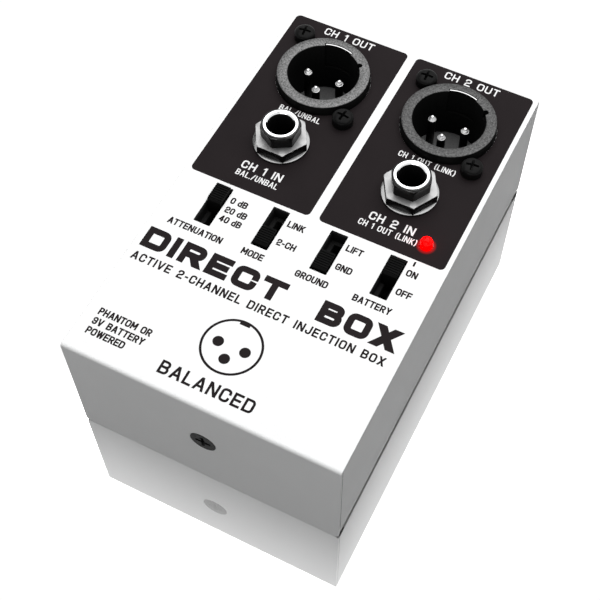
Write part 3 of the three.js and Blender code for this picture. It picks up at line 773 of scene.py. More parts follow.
def build_shell(channel):
    """The cast shell: a ring and a tube about a flange, with screw bosses, a notch and a latch pocket."""
    node = f"output_shell_{channel}"
    x, y, low, top, _ = measure(node)
    under = PANEL_UNDER - FLANGE_T
    boss_r, boss_low, notch_depth, pocket_depth = 2.6, low + 8.2, 2.5, 8.1
    tube = lathe([
        (CUP_R, low), (SHELL_R, low), (SHELL_R, under), (RING_R, under),
        (RING_R, top - 0.25), (RING_R - 0.07, top - 0.07), (RING_R - 0.25, top),
        (CUP_R + 0.25, top), (CUP_R + 0.07, top - 0.07), (CUP_R, top - 0.25),
    ], 128)
    half = FLANGE_HALF
    flange = prism(rounded_rectangle(-half, half, -half, half, 4), under, PANEL_UNDER)
    flange = cut(flange, prism(circle(CUP_R + 0.8), under - 1, PANEL_UNDER + 1))
    bosses, bores = [], []
    for side in SIDES:
        screw_x, screw_y, tip, _, _ = measure(f"output_screw_{channel}_{side}")
        spot = (screw_x - x, screw_y - y)
        bosses.append(prism(circle(boss_r, *spot, 40), boss_low, under + 1))
        bores.append(prism(circle(OUT_SCREW_SHANK_R + 0.1, *spot, 32), tip - 2, PANEL_UNDER + 1))
    notch_at = arc(0, 0, NOTCH_OUT, NOTCH_ANGLE, NOTCH_ANGLE, 1)[0]
    notch = prism(circle(NOTCH_R, *notch_at, 24), top - notch_depth, top + 1)
    pocket = prism(sector(*POCKET), top - pocket_depth, top + 1)
    shell = cut(joined(tube, flange, *bosses), *bores, notch, pocket)

    # Painted light: the ring's top faces take the grey metal and the rest the black, though the shell is one
    # black casting.
    def pick(centre, normal):
        return 0 if centre.z > top - 0.3 and normal.z > 0.3 else 1

    stands_for(node, moved(shell, x, y), (RING_FACES_PAINTED_LIGHT[channel], SHELL_BLACK), edge=0.05, pick=pick)


def build_insert(channel):
    node = f"output_insert_{channel}"
    x, y, low, floor, _ = measure(node)
    wall, well_r = CUP_R - 0.15, 1.2
    body = lathe([
        (0, low), (SHELL_R, low), (SHELL_R, low + 0.3), (wall, low + 0.3), (wall, floor - 1),
        (8.1, floor - 1), (8, floor - 0.1), (7.9, floor), (0, floor),
    ], 96)
    wells = []
    for number in PINS:
        pin = middle(f"output_pin_{channel}_{number}")
        wells.append(prism(circle(well_r, pin.x - x, pin.y - y, 32), low - 1, floor + 1))
    stands_for(node, moved(cut(body, *wells), x, y), INSERT_PAINTED_LIGHT, edge=0.06)


def build_pin(node):
    """A pin whose cap is a bright cone with a rounded tip, and whose stem below it is painted dark, as
    painted shade.
    """
    x, y, low, top, r = measure(node)
    cap = [
        (r, 1.16), (r - 0.04, 1.1), (0.93, 1.06), (0.91, 1), (0.66, 0.56), (0.54, 0.5), (0.48, 0.44),
        (0.46, 0.3), (0.4, 0.13), (0.26, 0.03), (0, 0),
    ]
    profile = [(0, low), (r - 0.3, low), (r, low + 0.3)] + [(out, top - drop) for out, drop in cap]

    def pick(centre, normal):
        return 0 if centre.z > top - 1.08 else 1

    shape = moved(lathe(profile, 40), x, y)
    stands_for(node, shape, (PIN_CAP, PIN_STEM_PAINTED_SHADE), edge=0, degrees=50, pick=pick)


def build_strike(channel):
    """The latch strike: a curved plate let into the cup's wall, steel only on its top edge; its faces take
    the shell's black as a painted dark reflection.
    """
    node = f"latch_strike_{channel}"
    _, _, low, high, _ = measure(node)
    x, y, _ = middle(f"output_shell_{channel}")

    # Painted shade: only the upward faces are steel, and the plate's other faces take the shell's black.
    def pick(centre, normal):
        return 0 if normal.z > 0.5 else 1

    plate = moved(prism(sector(*STRIKE), low, high), x, y)
    stands_for(node, plate, (STRIKE_STEEL, SHELL_BLACK), edge=0.04, pick=pick)


def build_output_screw(node):
    """A domed pan head screw, its recess turned a little as if driven home by hand."""
    x, y, low, top, _ = measure(node)
    r, shank, dome = OUT_SCREW_HEAD_R, OUT_SCREW_SHANK_R, 0.95
    profile = [
        (0, low), (shank, low + 1), (shank, PANEL_TOP), (r - 0.08, PANEL_TOP), (r, PANEL_TOP + 0.1),
        (r, top - 1.15),
    ]
    for a in (0.12, 0.35, 0.6, 0.85, 1.1, 1.33):
        profile.append((r * math.cos(a), top - dome + dome * math.sin(a)))
    spin = math.degrees(x * 3 + y * 7) % 18 - 9
    recess = turned(cross_cutter(1.9, 0.72, top, 1.5), spin, "Z")
    screw = cut(lathe(profile + [(0, top)], 64), recess)
    stands_for(node, moved(screw, x, y), SCREW_BLACK, edge=0.05, degrees=40)


# ---------------------------------------------------------------- jacks


def soft_hexagon(r, flats, turn, sides=120):
    """A hexagon's outline that blends into a circle of radius r where it would cross it."""
    outline = []
    for i in range(sides):
        angle = 360 * i / sides
        beside = math.radians((angle - turn) % 60 - 30)
        across = flats / 2 / math.cos(beside)
        reach = (across ** -40 + r ** -40) ** (-1 / 40)
        outline.append((reach * math.cos(math.radians(angle)), reach * math.sin(math.radians(angle))))
    return outline


def build_bushing(channel):
    """The hexagonal head above the nut, which rounds off to a bright rim, and its sleeve below."""
    node = f"jack_bushing_{channel}"
    x, y, low, top, _ = measure(node)
    seat = corners(f"jack_nut_{channel}")[1].z
    turn = 30 if channel == 1 else 0
    # The head's corner radius and width across flats, at each depth below the rim
    rounding = [
        (5.3, 9.2, seat - top), (5.3, 9.25, -1.9), (5.3, 9.35, -1.4), (5.28, 9.5, -0.95), (5.22, 9.7, -0.65),
        (5.1, 9.9, -0.42), (4.98, 9.9, -0.27), (4.82, 9.9, -0.14), (4.62, 9.9, -0.04),
    ]
    sections = [(soft_hexagon(r, flats, turn), top + drop) for r, flats, drop in rounding]
    head = loft(sections + [(circle(BUSHING_RIM_R, sides=120), top)])
    sleeve = prism(circle(BUSHING_SLEEVE_R, sides=64), low, seat + 0.5)
    bore_r, mouth_r = BUSHING_BORE_R, BUSHING_MOUTH_R
    bore = lathe([
        (0, low - 1), (bore_r, low - 1), (bore_r, top - 1.2), (mouth_r - 0.4, top - 0.46),
        (mouth_r - 0.36, top - 0.4), (mouth_r, top), (mouth_r, top + 1), (0, top + 1),
    ], 96)

    def pick(centre, normal):
        if normal.z > 0.97 and centre.z > top - 0.01:
            return 0
        inward = (x - centre.x) * normal.x + (y - centre.y) * normal.y > 0
        # Painted shade: the bore below its mouth takes the black finish.
        if inward or centre.z < seat:
            return 0 if centre.z > top - 0.42 else 1
        # Painted highlight: upward faces take the more reflective dark metal, steeper ones the glossy black.
        return 3 if normal.z > 0.4 else 2

    shape = moved(cut(joined(head, sleeve), bore), x, y)
    finishes = (CHROME, BORE_PAINTED_SHADE, GLOSS_BLACK, SHOULDER_PAINTED_HIGHLIGHT)
    stands_for(node, shape, finishes, edge=0, degrees=24, pick=pick)


def build_washer(channel):
    node = f"jack_washer_{channel}"
    x, y, low, top, r = measure(node)
    washer = lathe([
        (JACK_HOLE_R, low), (r - 0.1, low), (r, low + 0.15), (r, top - 0.22), (r - 0.07, top - 0.07),
        (r - 0.22, top), (JACK_HOLE_R, top),
    ], 96)
    stands_for(node, moved(washer, x, y), NICKEL, edge=0)


def build_nut(channel):
    """A hexagonal nut, its corners turned down around a rim at the top. Its top is a lighter copy of its
    metal and its sides a near-black one, as painted light and shade.
    """
    node = f"jack_nut_{channel}"
    x, y, low, top, _ = measure(node)
    corner = NUT_FLATS / math.sqrt(3)
    rim, wide = NUT_RIM_R, corner + 1
    fall = math.tan(math.radians(30))
    envelope = lathe([
        (0, low - 1), (wide, low - 1), (wide, top - (wide - rim) * fall),
        (rim + 0.25, top - 0.25 * fall - 0.02), (rim, top - 0.03), (rim - 0.1, top), (0, top),
    ], 120)
    hexagon = common(prism(circle(corner, sides=6), low, top), envelope)
    nut = cut(hexagon, prism(circle(JACK_HOLE_R), low - 1, top + 1))

    def pick(centre, normal):
        return 0 if normal.z > 0.3 else 1

    stands_for(node, moved(nut, x, y), (NUT_TOP_PAINTED_LIGHT, NUT_SIDES_PAINTED_SHADE), degrees=20, pick=pick)


# ---------------------------------------------------------------- switches and lamp


def build_switch(name):
    """A switch's housing, and its ribbed knob on a stem that runs in the housing."""
    housing = f"{name}_switch_housing"
    dress(housing, WELL_BLACK, edge=0.12)
    node = f"{name}_slider"
    x, y, low, top, _ = measure(node)
    knob_low = corners(housing)[1].z - 3.1
    half, ribs, depth, across = 2.75, 7, 0.24, 1.875
    pitch = (2 * half - 0.8) / ribs
    outline = [(half, knob_low), (half, top - 0.3)]
    for i in range(ribs):
        start = half - 0.4 - i * pitch
        for step, drop in ((0, 0), (0.5, 0), (0.62, depth), (0.88, depth)):
            outline.append((start - pitch * step, top - drop))
    outline += [(-half + 0.45, top - 0.1), (-half, top - 0.6), (-half, knob_low)]
    knob = along_x(prism(outline, -across, across))
    stem_x, stem_y, runner_x, runner_y = 0.8, 2.2, 2.7, 4
    stem = block(-stem_x, stem_x, -stem_y, stem_y, low + 1.5, knob_low + 0.5)
    runner = block(-runner_x, runner_x, -runner_y, runner_y, low, low + 2)
    stands_for(node, moved(joined(knob, stem, runner), x, y), KNOB_BLACK, edge=0.07)


def build_lamp():
    x, y, low, top, _ = measure("lamp")
    spacer_x, spacer_y, spacer_low, seat, r = measure("lamp_spacer")
    dome = arc(0, top - LAMP_R, LAMP_R, 0, 90, 10)[:-1]
    lens = lathe([
        (0, seat), (r, seat), (r, seat + 0.85), (r - 0.15, seat + 1), (LAMP_R, seat + 1), *dome, (0, top),
    ], 64)
    half, apart = 0.25, 0.65
    legs = [block(at - half, at + half, -half, half, low, seat + 0.2) for at in (-apart, apart)]

    def pick(centre, normal):
        return 1 if centre.z < seat - 0.01 else 0

    shape = moved(joined(lens, *legs), x, y)
    lamp = stands_for("lamp", shape, (LAMP_RED, TIN), edge=0.03, pick=pick)
    lamp.visible_glossy = False
    bore, rim = 1.2, seat - 0.02
    tube = lathe([(bore, spacer_low), (r, spacer_low), (r, rim), (bore, rim)], 48)
    stands_for("lamp_spacer", moved(tube, spacer_x, spacer_y), INNER_BLACK, edge=0.1)


# ---------------------------------------------------------------- inside


def build_capacitor(node):
    """A sleeved can with a crimp near its foot and a cross of vents in its bare top."""
    x, y, low, top, r = measure(node)
    can = lathe([
        (0, low), (r - 0.25, low), (r, low + 0.25), (r, low + 1.4), (r - 0.2, low + 1.75),
        (r - 0.2, low + 2.05), (r, low + 2.4), (r, top - 0.25), (r - 0.25, top), (r - 0.6, top),
        (r - 0.65, top - 0.12), (0, top - 0.12),
    ], 48)
    long, thin = 1.8, 0.12
    vents = [block(-a, a, -b, b, top - 0.3, top + 1) for a, b in ((long, thin), (thin, long))]

    def pick(centre, normal):
        along, across = centre.x - x, centre.y - y
        if centre.z > top - 0.35 and normal.z > 0.2 and math.hypot(along, across) < r - 0.55:
            return 2
        on_stripe = abs(math.degrees(math.atan2(across, along))) < 26
        return 1 if on_stripe and abs(normal.z) < 0.6 else 0

    shape = moved(cut(can, *vents), x, y)
    stands_for(node, shape, (SLEEVE, SLEEVE_STRIPE, STEEL), edge=0, pick=pick)


def build_resistor(node):
    """A banded body lying along Y, with a bent wire at each end."""
    x, y, low, _, _ = measure(node)
    height = low + 1.6
    waist, bulge, reach, wire, lead_y = 0.95, 1.15, 3.2, 0.3, 4.7
    bands = [(-1.3, 1), (-0.5, 2), (0.3, 1), (1.3, 3)]
    profile = [(0, -reach), (bulge - 0.3, -reach), (bulge, -reach + 0.3), (bulge, -2.3), (waist, -1.8)]
    for place, _ in bands:
        profile += [(waist, place - 0.2), (waist, place + 0.2)]
    profile += [(waist, 1.8), (bulge, 2.3), (bulge, reach - 0.3), (bulge - 0.3, reach), (0, reach)]

    def rod(start, end):
        return lathe([(0, start), (wire, start), (wire, end), (0, end)], 16)

    leads = []
    for side in (-1, 1):
        leads.append(turned(rod(*sorted((side * (reach - 0.3), side * 5))), -90, "X"))
        leads.append(moved(rod(low - height, wire), y=side * lead_y))

    def pick(centre, normal):
        along = centre.y - y
        if abs(along) > reach + 0.01:
            return 4
        return next((index for place, index in bands if abs(along - place) < 0.19), 0)

    shape = moved(joined(turned(lathe(profile, 32), -90, "X"), *leads), x, y, height)
    stands_for(node, shape, (LACQUER, *BANDS, TIN), edge=0, pick=pick, degrees=45)


def build_battery():
    low, high = corners("battery")
    _, y, z = middle("battery")
    body_end = corners("battery_snap")[0].x - 0.3
    band_start = body_end - 9
    body = along_x(prism(rounded_rectangle(low.y, high.y, low.z, high.z, 1.5), low.x, body_end))
    terminals = []
    reach, terminal_y = high.x - body_end, 6.35
    for side, r, hollow in ((-1, 2.9, 2.0), (1, 4.1, 3.0)):
        stud = lathe([
            (0, -0.5), (r, -0.5), (r, reach - 0.3), (r - 0.3, reach), (hollow, reach), (hollow, 0.4),
            (0, 0.4),
        ], 48)
        terminals.append(moved(turned(stud, 90, "Y"), body_end, y + side * terminal_y, z))

    def pick(centre, normal):
        if centre.x > body_end + 0.05:
            return 2
        return 1 if centre.x > band_start and abs(normal.x) < 0.5 else 0

    whole = joined(body, *terminals)
    bmesh.ops.bisect_plane(
        whole, geom=whole.verts[:] + whole.edges[:] + whole.faces[:],
        plane_co=(band_start, 0, 0), plane_no=(1, 0, 0),
    )
    stands_for("battery", whole, (JACKET, COPPER, STEEL), edge=0.15, pick=pick)
    dress("battery_snap", INNER_BLACK, edge=0.25, segments=3)
    dress("battery_clip", STEEL, edge=0.12)


def build_inside():
    """The chips, jack bodies, contacts, circuit board and battery leads."""
    for i in (1, 2):
        chip = f"amplifier_chip_{i}"
        _, y, low, _, _ = measure(chip)

        def pick(centre, normal):
            return 1 if abs(centre.y - y) > 3.25 or centre.z < low + 0.45 else 0

        dress(chip, (INNER_BLACK, TIN), pick=pick)
        dress(f"jack_body_{i}", INNER_BLACK, edge=0.2, segments=3)
        for part in ("tip", "ring"):
            dress(f"jack_{part}_contact_{i}", CONTACT, edge=0.06)
    dress("circuit_board", BOARD, edge=0.1)
    for colour, material in WIRES.items():
        dress(f"battery_lead_{colour}", material, edge=0, degrees=60)


# ---------------------------------------------------------------- print

# Each letter: its width, then its strokes on a grid one unit high. A path's points may carry a 1,
# which rounds that corner, and a slant is its two ends (x, y, x, y), cut level.
LETTERS = {
    " ": (0.3, [], []),
    "\u2009": (0.12, [], []),
    "A": (0.68, [[(0.17, 0.28), (0.51, 0.28)]], [(0, 0, 0.34, 1), (0.68, 0, 0.34, 1)]),
    "B": (0.6, [[(0, 0), (0, 1), (0.57, 1, 1), (0.57, 0.52, 1), (0, 0.52)],
                [(0, 0.52), (0.6, 0.52, 1), (0.6, 0, 1), (0, 0)]], []),
    "C": (0.6, [[(0.6, 0.74), (0.6, 1, 1), (0, 1, 1), (0, 0, 1), (0.6, 0, 1), (0.6, 0.26)]], []),
    "D": (0.62, [[(0, 0.5), (0, 1), (0.62, 1, 1), (0.62, 0, 1), (0, 0), (0, 0.5)]], []),
    "E": (0.54, [[(0.54, 1), (0, 1), (0, 0), (0.54, 0)], [(0, 0.5), (0.48, 0.5)]], []),
    "F": (0.52, [[(0.52, 1), (0, 1), (0, 0)], [(0, 0.5), (0.46, 0.5)]], []),
    "G": (0.62, [[(0.62, 0.76), (0.62, 1, 1), (0, 1, 1), (0, 0, 1), (0.62, 0, 1), (0.62, 0.46),
                  (0.34, 0.46)]], []),
    "H": (0.6, [[(0, 0), (0, 1)], [(0.6, 0), (0.6, 1)], [(0, 0.5), (0.6, 0.5)]], []),
    "I": (0, [[(0, 0), (0, 1)]], []),
    "J": (0.5, [[(0.5, 1), (0.5, 0, 1), (0, 0, 1), (0, 0.26)]], []),
    "K": (0.6, [[(0, 0), (0, 1)]], [(0.06, 0.36, 0.56, 1), (0.22, 0.6, 0.6, 0)]),
    "L": (0.5, [[(0, 1), (0, 0), (0.5, 0)]], []),
    "M": (0.78, [[(0, 0), (0, 1)], [(0.78, 0), (0.78, 1)]], [(0, 1, 0.39, 0.22), (0.78, 1, 0.39, 0.22)]),
    "N": (0.64, [[(0, 0), (0, 1)], [(0.64, 0), (0.64, 1)]], [(0, 1, 0.64, 0)]),
    "O": (0.64, [[(0, 0.5), (0, 1, 1), (0.64, 1, 1), (0.64, 0, 1), (0, 0, 1), (0, 0.5)]], []),
    "P": (0.56, [[(0, 0), (0, 1), (0.56, 1, 1), (0.56, 0.44, 1), (0, 0.44)]], []),
    "R": (0.6, [[(0, 0), (0, 1), (0.58, 1, 1), (0.58, 0.46, 1), (0, 0.46)]], [(0.32, 0.46, 0.6, 0)]),
    "T": (0.6, [[(0, 1), (0.6, 1)], [(0.3, 1), (0.3, 0)]], []),
    "U": (0.6, [[(0, 1), (0, 0, 1), (0.6, 0, 1), (0.6, 1)]], []),
    "V": (0.68, [], [(0, 1, 0.34, 0), (0.68, 1, 0.34, 0)]),
    "W": (0.96, [], [(0, 1, 0.24, 0), (0.48, 1, 0.24, 0), (0.48, 1, 0.72, 0), (0.96, 1, 0.72, 0)]),
    "X": (0.64, [], [(0, 0, 0.64, 1), (0, 1, 0.64, 0)]),
    "Y": (0.64, [[(0.32, 0.44), (0.32, 0)]], [(0, 1, 0.32, 0.42), (0.64, 1, 0.32, 0.42)]),
    "0": (0.54, [[(0, 0.5), (0, 1, 1), (0.54, 1, 1), (0.54, 0, 1), (0, 0, 1), (0, 0.5)]], []),
    "1": (0.22, [[(0.22, 0), (0.22, 1)]], [(0, 0.76, 0.22, 1)]),
    "2": (0.56, [[(0, 0.76), (0, 1, 1), (0.56, 1, 1), (0.56, 0.5, 1), (0, 0.42, 1), (0, 0), (0.56, 0)]], []),
    "4": (0.58, [[(0.42, 0), (0.42, 1)], [(0, 0.26), (0.58, 0.26)]], [(0, 0.26, 0.42, 1)]),
    "9": (0.56, [[(0.56, 0.48), (0, 0.48, 1), (0, 1, 1), (0.56, 1, 1), (0.56, 0, 1), (0, 0, 1),
                  (0, 0.22)]], []),
    "d": (0.5, [[(0.5, 0), (0.5, 1)], [(0.5, 0.66), (0, 0.66, 1), (0, 0, 1), (0.5, 0)]], []),
    "-": (0.3, [[(0.05, 0.44), (0.25, 0.44)]], []),
    "/": (0.44, [], [(0, 0, 0.44, 1)]),
    ".": (0, [[(0, 0), (0, 0.02)]], []),
    "(": (0.16, [[(0.16, 1.08), (0, 0.9, 1), (0, 0.1, 1), (0.16, -0.08)]], []),
    ")": (0.16, [[(0, 1.08), (0.16, 0.9, 1), (0.16, 0.1, 1), (0, -0.08)]], []),
}
# How far a rounded corner reaches, on the letters' grid
CORNER = 0.3


def rounded_path(points, radius):
    """The path's points, with each marked corner drawn as a curve that starts radius away from it."""
    path = [Vector(points[0][:2])]
    for before, here, after in zip(points, points[1:], points[2:]):
        corner = Vector(here[:2])
        if len(here) < 3:
            path.append(corner)
            continue
        back, on = Vector(before[:2]) - corner, Vector(after[:2]) - corner
        start, end = (
            corner + side.normalized() * min(radius, side.length * (0.5 if len(mark) > 2 else 1.0))
            for side, mark in ((back, before), (on, after))
        )
        for i in range(9):
            t = i / 8
            path.append(start.lerp(corner, t).lerp(corner.lerp(end, t), t))
    path.append(Vector(points[-1][:2]))
    return path


def stroke(path, half):
    """Four-sided outlines that together draw a path with square ends and mitred corners."""
    clean = [path[0]]
    for point in path[1:]:
        if (point - clean[-1]).length > 1e-4:
            clean.append(point)
    closed = (clean[0] - clean[-1]).length < 1e-3
    aims = [(b - a).normalized() for a, b in zip(clean, clean[1:])]
    if closed:
        aims = [aims[-1]] + aims + [aims[0]]
    else:
        clean[0] = clean[0] - aims[0] * half
        clean[-1] = clean[-1] + aims[-1] * half
        aims = [aims[0]] + aims + [aims[-1]]
    sides = []
    for point, a, b in zip(clean, aims, aims[1:]):
        across = Vector((-a.y, a.x))
        normal = (across + Vector((-b.y, b.x))).normalized()
        reach = half / max(0.4, normal.dot(across))
        sides.append((point + normal * reach, point - normal * reach))
    return [[tuple(p) for p in (a[0], b[0], b[1], a[1])] for a, b in zip(sides, sides[1:])]


def slant(x0, y0, x1, y1, half, top):
    """A straight slanting stroke whose ends are cut level."""
    wide = half * math.hypot(x1 - x0, y1 - y0) / abs(y1 - y0)
    ends = []
    for x, y in ((x0, y0), (x1, y1)):
        level = -half if y <= 0 else top + half if y >= top else y
        ends.append([(x - wide, level), (x + wide, level)])
    return [ends[0][0], ends[0][1], ends[1][1], ends[1][0]]


def lettering(text, x, y, cap, weight, stretch=1.0, align="centre", gap=0.16):
    """Outlines of text whose letters stand on y, cap high, drawn weight wide and stretched across."""
    half = weight / 2
    grid = cap - weight
    letters = [LETTERS[letter] for letter in text]
    widths = [w * grid * stretch + weight for w, _, _ in letters]
    total = sum(widths) + gap * cap * (len(text) - 1)
    start = x - {"left": 0, "centre": total / 2, "right": total}[align]
    outlines = []
    for (_, paths, slants), width in zip(letters, widths):
        placed = []
        for points in paths:
            scaled = [(p[0] * grid * stretch, p[1] * grid, *p[2:]) for p in points]
            placed += stroke(rounded_path(scaled, CORNER * grid), half)
        for x0, y0, x1, y1 in slants:
            wide = grid * stretch
            placed.append(slant(x0 * wide, y0 * grid, x1 * wide, y1 * grid, half, grid))
        outlines += [[(start + half + px, y + half + py) for px, py in outline] for outline in placed]
        start += width + gap * cap
    return outlines


# The ink's reach below and above the cover's top
INK_DEPTH = 0.01
PANEL_INK_RISE = 0.02
TEXT_INK_RISE = 0.04


def build_panels():
    """The two black rounded panels, clear of the cover's holes."""
    margin = 1.25
    front, back = -1.26, HALF_L - 0.6
    for channel, sign in zip(CHANNELS, (-1, 1)):
        x0, x1 = sorted((sign * margin, sign * (HALF_W - margin)))
        outline = rounded_rectangle(x0, x1, front, back, 1.3)
        holes = [hole for hole in hole_outlines(0.05) if x0 < hole[0][0] < x1]
        ink = flat_solid([outline], holes, PANEL_TOP - INK_DEPTH, PANEL_TOP + PANEL_INK_RISE)
        piece(f"channel_panel_{channel}", ink, BLACK_INK, edge=0)


def build_white_print():
    outlines = []
    notes = {1: "BAL./UNBAL", 2: "CH 1 OUT (LINK)"}
    for channel in CHANNELS:
        shell = middle(f"output_shell_{channel}")
        jack = middle(f"jack_bushing_{channel}")
        outlines += lettering(f"CH {channel} OUT", shell.x, shell.y + 14.75, 2.45, 0.37, 1.1)
        outlines += lettering(f"CH {channel} IN", jack.x, jack.y - 11.6, 2.45, 0.42, 1.12)
        for base in (jack.y + 9.6, jack.y - 14.1):
            outlines += lettering(notes[channel], jack.x, base, 1.8, 0.27, 0.86, gap=0.13)
    ink = flat_solid(outlines, [], PANEL_TOP, PANEL_TOP + TEXT_INK_RISE)
    piece("white_print", ink, WHITE_INK, edge=0)


SWITCH_CAPTIONS = {
    "attenuation": ("0\u2009dB", "20\u2009dB", "40\u2009dB"),
    "mode": ("LINK", None, "2-CH"),
    "ground": ("LIFT", None, "GND"),
    "battery": ("ON", None, "OFF"),
}


def build_black_print():
    outlines = []
    small, thin, narrow, tight = 1.95, 0.4, 0.97, 0.06
    for name in SWITCHES:
        x, y = middle(f"{name}_switch_housing").xy
        outlines += lettering(name.upper(), x - 0.3, y - 9.7, small, thin, narrow, gap=tight)
        for caption, rise in zip(SWITCH_CAPTIONS[name], (2.2, -0.8, -3.7)):
            if caption:
                outlines += lettering(caption, x + 3.2, y + rise, small, thin, narrow, "left", tight)
    battery_x, battery_y = middle("battery_switch_housing").xy
    outlines.append(rectangle(battery_x + 3.7, battery_x + 4.2, battery_y + 5.4, battery_y + 6.8))
    left, right, title_y, title, bold = -34.2, 33.4, -27.1, 6.1, 1.72
    outlines += lettering("DIRECT", left, title_y, title, bold, 1.75, "left", 0.17)
    outlines += lettering("BOX", right, title_y, title, bold, 1.6, "right", 0.15)
    subtitle = "ACTIVE 2-CHANNEL DIRECT INJECTION BOX"
    outlines += lettering(subtitle, left, -31.3, 2.4, 0.45, 1.02, "left")
    for line, base in (("PHANTOM OR", -48.3), ("9V BATTERY", -51.1), ("POWERED", -53.9)):
        outlines += lettering(line, left + 1.5, base, small, thin, narrow, "left", tight)
    outlines += lettering("BALANCED", -0.5, -55.4, 3.5, 0.62, 1.1)
    outlines += pictogram(-0.4, -42.1)
    ink = flat_solid(outlines, [], PANEL_TOP - INK_DEPTH, PANEL_TOP + TEXT_INK_RISE)
    piece("black_print", ink, BLACK_INK, edge=0)


def pictogram(x, y):
    """A plain three-pole connector: a ring with a key and three dots."""
    ring_r, dot_r, dots_at = 7.2, 1.35, 3.5
    ring = [Vector(point) for point in circle(ring_r, x, y, 72)]
    outlines = stroke(ring + ring[:1], 0.3)
    outlines.append(rectangle(x - 1.3, x + 1.3, y + 6.2, y + 7.0))
    for angle in (0, 180, 270):
        spot = math.radians(angle)
        outlines.append(circle(dot_r, x + dots_at * math.cos(spot), y + dots_at * math.sin(spot), 40))
    return outlines


# ---------------------------------------------------------------- stage, lights and camera

# How far from the case the stage's polish fades from near to far, along each axis, in millimetres
FADE_X = 10.3
FADE_Y = 20.7
POLISH_NEAR = 0.9
POLISH_FAR = 0.3
STAGE_GLOW = 1.03


def build_stage():
    """A pale floor that curves up into a round wall, open to the sky."""
    flat_r, curve_r, wall_top, sides = 0.9, 0.4, 0.9, 96
    curve = arc(flat_r, curve_r, curve_r, -90, 0, 12)[1:]
    profile = [(0, 0), (0.3, 0), (0.6, 0), (flat_r, 0), *curve, (flat_r + curve_r, wall_top)]
    shape = bmesh.new()
    rings = spun(shape, profile, sides)
    for low, high in zip(rings, rings[1:]):
        for i in range(sides):
            j = (i + 1) % sides
            around = [low[i % len(low)], high[i], high[j], low[j % len(low)]]
            shape.faces.new(list(dict.fromkeys(around))).smooth = True
    floor = linked("floor", mesh_of(shape, "floor"))
    floor.data.materials.append(stage_finish())
    floor.visible_diffuse = False


def stage_finish():
    """Backlit white acrylic, with a painted shadow that darkens it below the case, whose polish fades away
    from it.
    """
    look = Nodes("stage_white")
    look.tree.nodes.remove(look.shader)
    place = look.node("SeparateXYZ", look.place)
    gaps, shares = [], []
    for axis, half, reach in ((0, HALF_W, FADE_X), (1, HALF_L, FADE_Y)):
        gaps.append(look.math("SUBTRACT", look.math("ABSOLUTE", place.outputs[axis]), half * MM))
        share = look.math("MAXIMUM", look.math("DIVIDE", gaps[-1], reach * MM), 0.0)
        shares.append(look.math("POWER", share, 4.0))
    away = look.math("POWER", look.math("ADD", *shares), 0.25)
    # Painted shadow: the glow falls to nothing under the case's footprint.
    lit = look.between(look.math("MAXIMUM", *gaps), -0.05 * MM, 0.15 * MM, 0.0, STAGE_GLOW)
    near = look.between(away, 0.0, 1.0, POLISH_NEAR, POLISH_FAR)
    far = look.between(away, 1.0, 1.6, 1.0, 0.0)
    glow = look.node("Emission", (1, 1, 1, 1), lit).outputs[0]
    mirror = look.node("BsdfGlossy", (1, 1, 1, 1), 0.03).outputs[0]
    surface = look.node("MixShader", look.math("MULTIPLY", near, far), glow, mirror).outputs[0]
    look.fill(look.tree.nodes["Material Output"].inputs["Surface"], surface)
    return look.material


def softbox(name, place, aim, size, radiance):
    """A rectangular area light of the given width and height whose face has the given radiance."""
    light = bpy.data.lights.new(name, "AREA")
    light.shape = "RECTANGLE"
    light.size, light.size_y = size
    light.energy = radiance * math.pi * size[0] * size[1]
    made = linked(name, light)
    made.location = place
    made.rotation_euler = (Vector(aim) - Vector(place)).to_track_quat("-Z", "Y").to_euler()


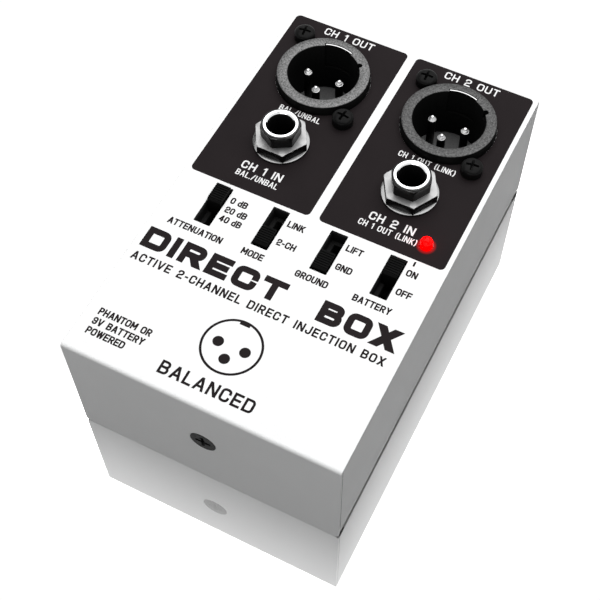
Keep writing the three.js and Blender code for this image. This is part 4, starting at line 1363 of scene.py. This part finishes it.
def build_lights():
    softbox("overhead", (0, 0.55, 0.95), (0, 0.55, 0), (1.4, 1.5), 3.24)
    softbox("front_fill", (0.1, -1.0, 0.45), (0, 0, 0), (0.8, 0.8), 1.7)
    world = bpy.data.worlds.new("studio")
    world.use_nodes = True
    background = world.node_tree.nodes["Background"]
    background.inputs["Color"].default_value = (1, 1, 1, 1)
    background.inputs["Strength"].default_value = 0.07
    bpy.context.scene.world = world
    bpy.context.scene.view_settings.view_transform = "Standard"


# The camera's place in metres, its angles in degrees, and its lens in millimetres
CAMERA_PLACE = (0.07652, -0.15297, 0.27292)
CAMERA_LENS = 70.58
CAMERA_SHIFT = (-0.0289, 0.0351)
CAMERA_AZIMUTH = 26.381
CAMERA_ELEVATION = 59.071
CAMERA_ROLL = 0.253


def build_camera():
    azimuth, elevation = math.radians(CAMERA_AZIMUTH), math.radians(CAMERA_ELEVATION)
    back = Vector((
        math.sin(azimuth) * math.cos(elevation),
        -math.cos(azimuth) * math.cos(elevation),
        math.sin(elevation),
    ))
    right = Vector((math.cos(azimuth), math.sin(azimuth), 0))
    facing_camera = Matrix((right, back.cross(right), back)).transposed()
    camera = bpy.data.cameras.new("camera")
    camera.lens = CAMERA_LENS
    camera.sensor_width = 36
    camera.shift_x, camera.shift_y = CAMERA_SHIFT
    camera.clip_start = 0.01
    holder = linked("camera", camera)
    roll = Matrix.Rotation(math.radians(CAMERA_ROLL), 3, "Z")
    holder.matrix_world = Matrix.Translation(CAMERA_PLACE) @ (facing_camera @ roll).to_4x4()
    bpy.context.scene.camera = holder


# ---------------------------------------------------------------- assembly

build_camera()
build_lights()
build_stage()
build_cover()
build_chassis()
for end in ENDS:
    build_case_screw(end)
for channel in CHANNELS:
    build_shell(channel)
    build_insert(channel)
    build_strike(channel)
    for number in PINS:
        build_pin(f"output_pin_{channel}_{number}")
    for side in SIDES:
        build_output_screw(f"output_screw_{channel}_{side}")
    build_bushing(channel)
    build_washer(channel)
    build_nut(channel)
for switch in SWITCHES:
    build_switch(switch)
build_lamp()
for number in (1, 2, 3, 4):
    build_capacitor(f"capacitor_{number}")
    build_resistor(f"resistor_{number}")
build_inside()
build_battery()
build_panels()
build_white_print()
build_black_print()
